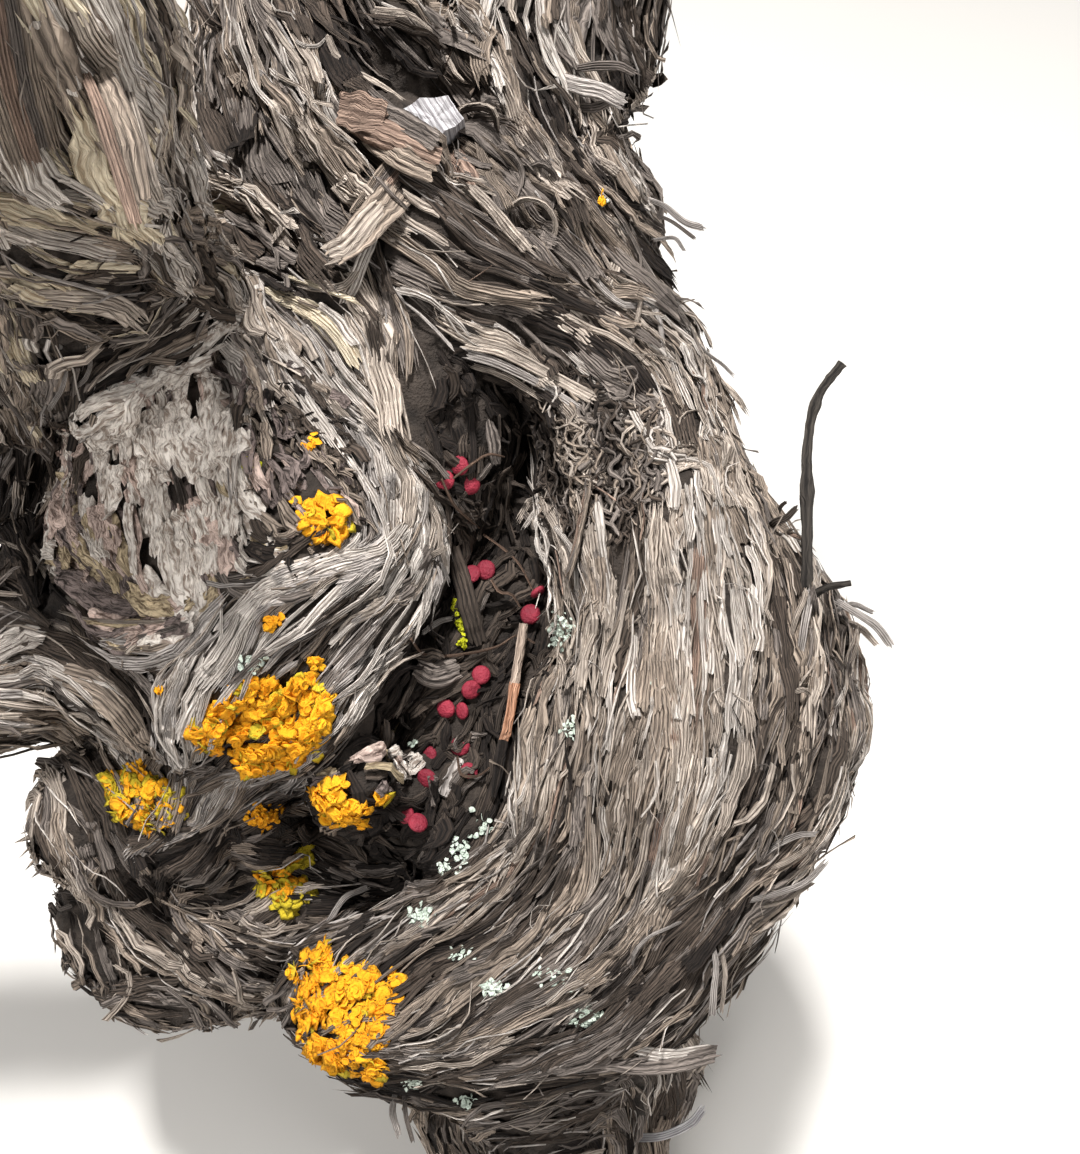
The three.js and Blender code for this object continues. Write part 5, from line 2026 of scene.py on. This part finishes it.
PEELS = (
    # Broken flaps over the arms
    Peel(9.5, Tone.UMBER, ((396, 192, 1), (382, 208, 6), (362, 230, 8), (338, 256, 8)), True),
    Peel(6.5, Tone.TAN, ((390, 196, 2), (372, 216, 8), (350, 244, 10), (330, 254, 9)), True),
    Peel(4.0, Tone.BLEACHED, ((372, 240, 6), (362, 262, 7), (354, 285, 6), (345, 302, 3)), True),
    Peel(2.6, Tone.TAN, ((362, 262, 5), (345, 285, 5), (320, 288, 3), (296, 283, 1))),
    Peel(11.0, Tone.RUDDY, ((342, 108, 3), (365, 112, 6), (385, 118, 6)), True),
    Peel(9.0, Tone.RUDDY, ((352, 118, 5), (375, 130, 7), (405, 142, 7), (438, 158, 7)), True),
    Peel(8.0, Tone.UMBER, ((372, 138, 5), (400, 155, 8), (432, 172, 7)), True),
    Peel(6.0, Tone.DUSK, ((380, 112, 5), (405, 124, 7), (436, 142, 8)), True),
    Peel(7.0, Tone.RUDDY, ((452, 152, 3), (465, 172, 7), (478, 200, 8), (490, 246, 5)), True),
    Peel(3.5, Tone.TAN, ((472, 188, 6), (490, 206, 5), (508, 228, 3), (526, 248, 1)), True),
    Peel(5.0, Tone.TAN, ((298, 58, 1), (306, 76, 3), (318, 98, 2))),
    Peel(2.0, Tone.BLEACHED, ((322, 70, 2), (321, 84, 4), (320, 98, 1))),
    Peel(3.0, Tone.BLEACHED, ((330, 86, 1), (326, 104, 3), (336, 124, 3), (350, 130, 1))),
    Peel(1.4, Tone.BLEACHED, ((292, 38, 1), (304, 46, 5), (318, 46, 5), (328, 36, 1))),
    Peel(1.6, Tone.GREY, ((234, 70, 1), (252, 68, 5), (268, 80, 6), (276, 98, 3), (282, 112, 1))),
    Peel(6.0, Tone.TAN, ((262, 90, 1), (275, 100, 4), (284, 120, 4), (296, 150, 2), (318, 172, 1))),
    # Loops where bark has split off the arm behind
    Peel(4.0, Tone.DARK,
         ((442, 128, 2), (452, 116, 7), (472, 108, 9), (492, 112, 8), (496, 130, 3)), turn=1.2),
    Peel(2.2, Tone.TAN,
         ((444, 124, 3), (456, 112, 9), (474, 105, 11), (494, 110, 9), (498, 128, 4)), turn=1.0),
    Peel(2.4, Tone.DUSK, ((498, 150, 1), (512, 158, 5), (520, 175, 5), (516, 196, 2)), turn=0.9),
    Peel(2.4, Tone.DUSK, ((528, 168, 1), (545, 166, 6), (556, 182, 6), (552, 208, 2)), turn=0.9),
    Peel(2.2, Tone.TAN,
         ((505, 215, 1), (522, 200, 6), (545, 205, 7), (556, 226, 5), (548, 246, 1)), turn=0.8),
    # Snags on the far side of the arm
    Peel(5.0, Tone.GREY, ((560, 82, 1), (582, 86, 6), (604, 92, 8), (622, 102, 8)), True),
    Peel(3.0, Tone.DUSK, ((568, 70, 1), (594, 66, 6), (618, 66, 8), (634, 73, 8)), True),
    Peel(2.6, Tone.DUSK, ((576, 108, 1), (594, 108, 5), (610, 102, 6)), True),
    Peel(1.8, Tone.GREY, ((640, 196, 1), (664, 206, 5), (684, 222, 8), (702, 228, 9)), True),
    Peel(1.2, Tone.DUSK, ((650, 212, 1), (672, 222, 5), (694, 238, 6)), True),
    Peel(1.2, Tone.GREY, ((655, 240, 1), (674, 238, 4), (684, 250, 5)), True),
    Peel(3.4, Tone.TAN, ((600, 160, 1), (618, 172, 4), (638, 194, 4), (662, 226, 2))),
    Peel(2.2, Tone.GREY, ((586, 258, 1), (600, 285, 4), (625, 305, 5), (656, 308, 4), (684, 288, 1))),
    Peel(1.6, Tone.TAN, ((600, 250, 1), (616, 276, 4), (640, 292, 5), (668, 286, 2))),
    Peel(1.0, Tone.GREY, ((688, 330, 1), (704, 350, 3), (722, 364, 7), (732, 374, 9)), True),
    # Lip of the hollow, and the torn strands along its left edge
    Peel(3.6, Tone.TAN, ((472, 344, 2), (505, 352, 5), (545, 372, 5), (590, 396, 3))),
    Peel(3.0, Tone.GREY, ((468, 354, 2), (500, 364, 5), (540, 384, 5), (580, 408, 2))),
    Peel(2.4, Tone.TAN, ((474, 366, 2), (505, 376, 4), (540, 398, 3))),
    Peel(2.4, Tone.TAN, ((523, 512, 2), (532, 500, 4), (548, 514, 4), (562, 545, 3), (568, 598, 1))),
    Peel(1.8, Tone.BLEACHED, ((528, 522, 2), (540, 508, 5), (556, 528, 4), (574, 556, 3), (578, 610, 1))),
    Peel(1.8, Tone.TAN, ((428, 500, 1), (438, 520, 3), (441, 545, 4), (446, 566, 2)), True),
    Peel(1.4, Tone.GREY, ((434, 520, 1), (443, 536, 4), (441, 556, 5), (448, 580, 3)), True),
    Peel(2.0, Tone.TAN, ((425, 560, 1), (438, 552, 4), (446, 548, 3)), True),
    # Thin strands round the knob
    Peel(1.3, Tone.GREY,
         ((60, 345, 1), (66, 370, 4), (60, 392, 5), (48, 412, 3), (34, 450, 2), (14, 486, 1))),
    Peel(1.2, Tone.GREY, ((88, 348, 1), (90, 366, 5), (84, 380, 5), (74, 388, 2))),
    Peel(1.6, Tone.TAN, ((10, 545, 2), (34, 556, 4), (48, 580, 4), (70, 600, 3), (96, 612, 1))),
    Peel(1.6, Tone.DUSK, ((60, 622, 2), (90, 632, 4), (130, 638, 4), (168, 630, 3), (200, 616, 1))),
    Peel(1.3, Tone.TAN, ((62, 612, 2), (92, 620, 4), (150, 622, 4), (206, 616, 1))),
    # Shreds on the right-hand edge and the shoulder, and round the dead shoot's foot
    Peel(2.6, Tone.GREY, ((800, 656, 1), (804, 628, 4), (808, 606, 6), (810, 590, 7))),
    Peel(2.2, Tone.DUSK, ((818, 650, 1), (817, 625, 5), (815, 604, 7), (812, 588, 9))),
    Peel(1.8, Tone.TAN, ((790, 640, 1), (796, 618, 4), (803, 602, 6), (806, 592, 7))),
    Peel(2.4, Tone.DARK, ((768, 528, 1), (776, 522, 5), (786, 518, 6), (796, 508, 5)), True),
    Peel(1.2, Tone.DARK, ((776, 524, 3), (780, 508, 6), (786, 502, 7)), True),
    Peel(2.2, Tone.GREY, ((838, 602, 1), (858, 614, 4), (876, 626, 6), (890, 644, 6)), True),
    Peel(2.0, Tone.TAN, ((842, 620, 1), (860, 628, 4), (876, 644, 5)), True),
    Peel(1.6, Tone.GREY, ((834, 612, 1), (852, 604, 5), (872, 612, 8)), True),
    Peel(1.8, Tone.TAN, ((786, 706, 1), (792, 694, 6), (804, 690, 7), (816, 700, 2))),
    Peel(2.0, Tone.GREY, ((752, 866, 1), (772, 848, 4), (796, 836, 5), (814, 834, 5)), True),
    Peel(1.6, Tone.TAN, ((760, 872, 1), (786, 862, 4), (808, 848, 5)), True),
    Peel(1.8, Tone.GREY, ((752, 900, 1), (782, 892, 5), (806, 882, 7), (824, 864, 7)), True),
    Peel(1.4, Tone.TAN, ((756, 908, 1), (786, 900, 5), (812, 884, 7)), True),
    Peel(2.0, Tone.GREY, ((712, 940, 1), (716, 965, 4), (714, 990, 6), (712, 1014, 6)), True),
    Peel(1.4, Tone.TAN, ((720, 945, 1), (725, 970, 4), (724, 990, 5), (722, 1010, 5)), True),
    Peel(1.1, Tone.GREY, ((632, 978, 1), (634, 955, 5), (648, 938, 5), (668, 928, 4), (690, 918, 1))),
    Peel(1.2, Tone.BLEACHED, ((556, 1046, 1), (562, 1030, 4), (575, 1012, 4), (600, 1000, 1))),
    # The broken snag and the curl below the rim
    Peel(6.0, Tone.DUSK, ((600, 1062, 0), (640, 1066, 0), (680, 1062, 0), (712, 1054, 0)), True),
    Peel(4.0, Tone.BLEACHED, ((640, 1052, 2), (670, 1056, 2), (708, 1050, 2)), True),
    Peel(3.4, Tone.SAWN, ((640, 1138, 2), (664, 1136, 4), (690, 1124, 6), (702, 1110, 8)), True),
    Peel(2.0, Tone.GREY, ((396, 1090, 1), (392, 1112, 3), (398, 1136, 3)), True),
    Peel(1.6, Tone.DUSK, ((404, 1092, 1), (406, 1116, 4), (412, 1140, 4)), True),
    # Splinters under the knob
    Peel(3.0, Tone.DUSK, ((306, 945, 2), (328, 932, 4), (350, 912, 5)), True),
    Peel(2.6, Tone.TAN, ((318, 990, 2), (340, 970, 3), (362, 950, 2))),
    Peel(2.0, Tone.GREY, ((330, 920, 2), (345, 898, 4), (366, 888, 4)), True),
    Peel(2.2, Tone.TAN, ((400, 902, 3), (430, 900, 4), (452, 888, 3))),
    # The near arm's loose flap
    Peel(6.0, Tone.UMBER, ((96, 70, 2), (112, 100, 4), (128, 145, 5), (140, 200, 3)), True),
    Peel(3.0, Tone.RUDDY, ((84, 72, 2), (100, 110, 4), (116, 160, 4), (136, 222, 2)), True),
    Peel(2.4, Tone.TAN, ((126, 90, 2), (138, 130, 5), (152, 180, 4), (160, 200, 2)), True),
    # Dead leaf, dark chunk and grey strip in the hollow
    Peel(9.0, Tone.DUSK, ((418, 668, 4), (436, 676, 6), (458, 668, 5))),
    Peel(6.0, Tone.DARK, ((452, 548, 4), (462, 580, 7), (470, 612, 6), (478, 640, 3))),
    Peel(2.2, Tone.GREY, ((424, 632, 4), (438, 622, 5), (452, 618, 4))),
)


@dataclass
class Peels:
    """Every piece of bark that has come away and shows by itself."""

    skin: Skin
    seed: int = 101
    kind: Thatch = Thatch(
        1, (0, 0), (0, 0), SUNLIT, columns=9, steps=12, lift=0.0, tip_lift=0.0, twist=0.08, ragged=0.04,
        taper=0.4, comb=0.8, split=1.2, ripple=0.1 * MM,
    )

    def course(self, peel: Peel) -> np.ndarray:
        """Give the places in space that a peel runs through.

        Args:
            peel: The peel.

        Returns:
            The places, one to a row.
        """
        x, y, lift = peel.places[0]
        root, _ = self.skin.look(x, y)
        depth = VIEW.depth(root)
        rows = []
        for x, y, height in peel.places:
            if peel.free:
                rows.append(VIEW.at_depth(x, y, depth + height * MM))
            else:
                place, _ = self.skin.look(x, y)
                rows.append(place + unit(VIEW.eye - place) * height * MM)
        return np.array(rows)

    def build(self) -> None:
        """Shape every peel along its course."""
        rng = np.random.default_rng(self.seed)
        batch = Batch("peels", rounded=False)
        rings = self.kind.steps + 1
        paths = np.array([smooth_path(self.course(peel), rings) for peel in PEELS])
        tangent = unit(np.gradient(paths, axis=1))
        sight = unit(VIEW.eye - paths)
        facing = unit(sight - tangent * dot(sight, tangent))
        turn = np.array([peel.turn for peel in PEELS])[:, None, None]
        normals = facing * np.cos(turn) + np.cross(tangent, facing) * np.sin(turn)
        length = path_length(paths)
        width = np.array([peel.width for peel in PEELS]) * MM
        strips = BarkStrips(self.skin, "peels", self.kind, np.ones(1), self.seed)
        shaped = strips.shape(rng, paths, normals, length, width, np.zeros(len(PEELS)))
        batch.add(*shaped, self.kind.tube, batch.look(*(peel.tone for peel in PEELS)))
        batch.build()


@dataclass
class Scar:
    """The pale sawn end of a branch that shows between the arms."""

    skin: Skin
    outline: Line = SCAR
    height: float = 9.0 * MM
    depth: float = 12.0 * MM
    heading: float = math.radians(-56)
    line: float = 0.7 * MM
    seed: int = 103

    def build(self) -> None:
        """Build the slab: its rim, a slightly sunken face and its back."""
        rng = np.random.default_rng(self.seed)
        middle = np.mean(self.outline, axis=0)
        ground, _ = self.skin.look(*middle)
        level = VIEW.depth(ground) + self.height
        rim = np.array([VIEW.at_depth(x, y, level) for x, y in self.outline])
        rim = rim + VIEW.out * rng.normal(0, 0.5 * MM, (len(rim), 1))
        centre = rim.mean(axis=0)
        inner = centre + (rim - centre) * 0.72 - VIEW.out * 0.4 * MM
        back = rim - VIEW.out * self.depth
        ends = np.array([centre - VIEW.out * self.depth, centre - VIEW.out * 0.5 * MM])
        verts = np.concatenate([back, rim, inner, ends])
        along = VIEW.right * math.cos(self.heading) + VIEW.up * math.sin(self.heading)
        across = np.cross(VIEW.out, along)
        places = np.stack([verts @ along, verts @ across / self.line * 0.5], axis=-1)
        batch = Batch("sawn_scar", rounded=False)
        batch.add(verts[None], places[None], fan_faces(len(rim), 3), batch.look(Tone.SAWN))
        batch.build()


@dataclass
class Studio:
    """A plain pale floor and soft light."""

    floor_size: float = 4.0
    floor_drop: float = 0.5 * MM
    floor_colour: tuple[int, int, int] = (226, 222, 216)
    sky: tuple[float, float, float, float] = (1.0, 1.0, 1.0, 1.0)
    sky_strength: float = 0.24

    def lamp(self, name: str, place: tuple[float, float, float], size: float, watts: float) -> None:
        """Add a soft lamp that faces the vine's head.

        Args:
            name: The lamp's name.
            place: Where it hangs.
            size: Its side.
            watts: Its power.
        """
        data = bpy.data.lights.new(name, "AREA")
        data.size = size
        data.energy = watts
        lamp = bpy.data.objects.new(name, data)
        lamp.location = place
        aim = Vector(VIEW.head) - lamp.location
        lamp.rotation_euler = aim.to_track_quat("-Z", "Y").to_euler()
        bpy.context.scene.collection.objects.link(lamp)

    def build(self) -> None:
        """Lay the floor, hang the lamps and set the sky."""
        half = self.floor_size / 2
        mesh = bpy.data.meshes.new("floor")
        corners = [(-half, -half), (half, -half), (half, half), (-half, half)]
        mesh.from_pydata([(*corner, -self.floor_drop) for corner in corners], [], [(0, 1, 2, 3)])
        floor = bpy.data.objects.new("floor", mesh)
        material = bpy.data.materials.new("floor_paper")
        material.use_nodes = True
        shader = material.node_tree.nodes["Principled BSDF"]
        shader.inputs["Base Color"].default_value = linear(*self.floor_colour)
        shader.inputs["Roughness"].default_value = 0.9
        mesh.materials.append(material)
        bpy.context.scene.collection.objects.link(floor)
        self.lamp("key", (-0.08, 0.2, 1.45), 0.14, 30.0)
        self.lamp("fill", (-0.8, -0.8, 1.1), 0.8, 13.0)
        self.lamp("side", (0.9, -0.2, 0.8), 0.5, 5.0)
        world = bpy.data.worlds.new("studio")
        world.use_nodes = True
        back = world.node_tree.nodes["Background"]
        back.inputs["Color"].default_value = self.sky
        back.inputs["Strength"].default_value = self.sky_strength
        bpy.context.scene.world = world
        bpy.context.scene.view_settings.view_transform = "Standard"


def main() -> None:
    """Build the vine from the wood outwards, and report each piece."""
    logging.basicConfig(level=logging.INFO, format="%(name)s: %(message)s")
    VIEW.build()
    Studio().build()
    skin = Underbark().build()
    Bark(skin).build()
    Flaps(skin).build()
    Peels(skin).build()
    Scar(skin).build()
    Lichen(skin).build()
    Specks(skin, "frost_lichen", Plain.FROST, (0.4 * MM, 1.0 * MM), 51, FROST_SPOTS).build()
    Specks(skin, "gold_specks", Plain.LOBE, (0.6 * MM, 1.3 * MM), 52, GOLD_SPOTS).build()
    Specks(skin, "moss_specks", Plain.MOSS, (0.4 * MM, 0.9 * MM), 53, MOSS_SPOTS).build()
    Fruit(skin).build()
    HollowLitter(skin).build()
    DeadShoot().build()
    Spurs().build()


if __name__ == "__main__":
    main()
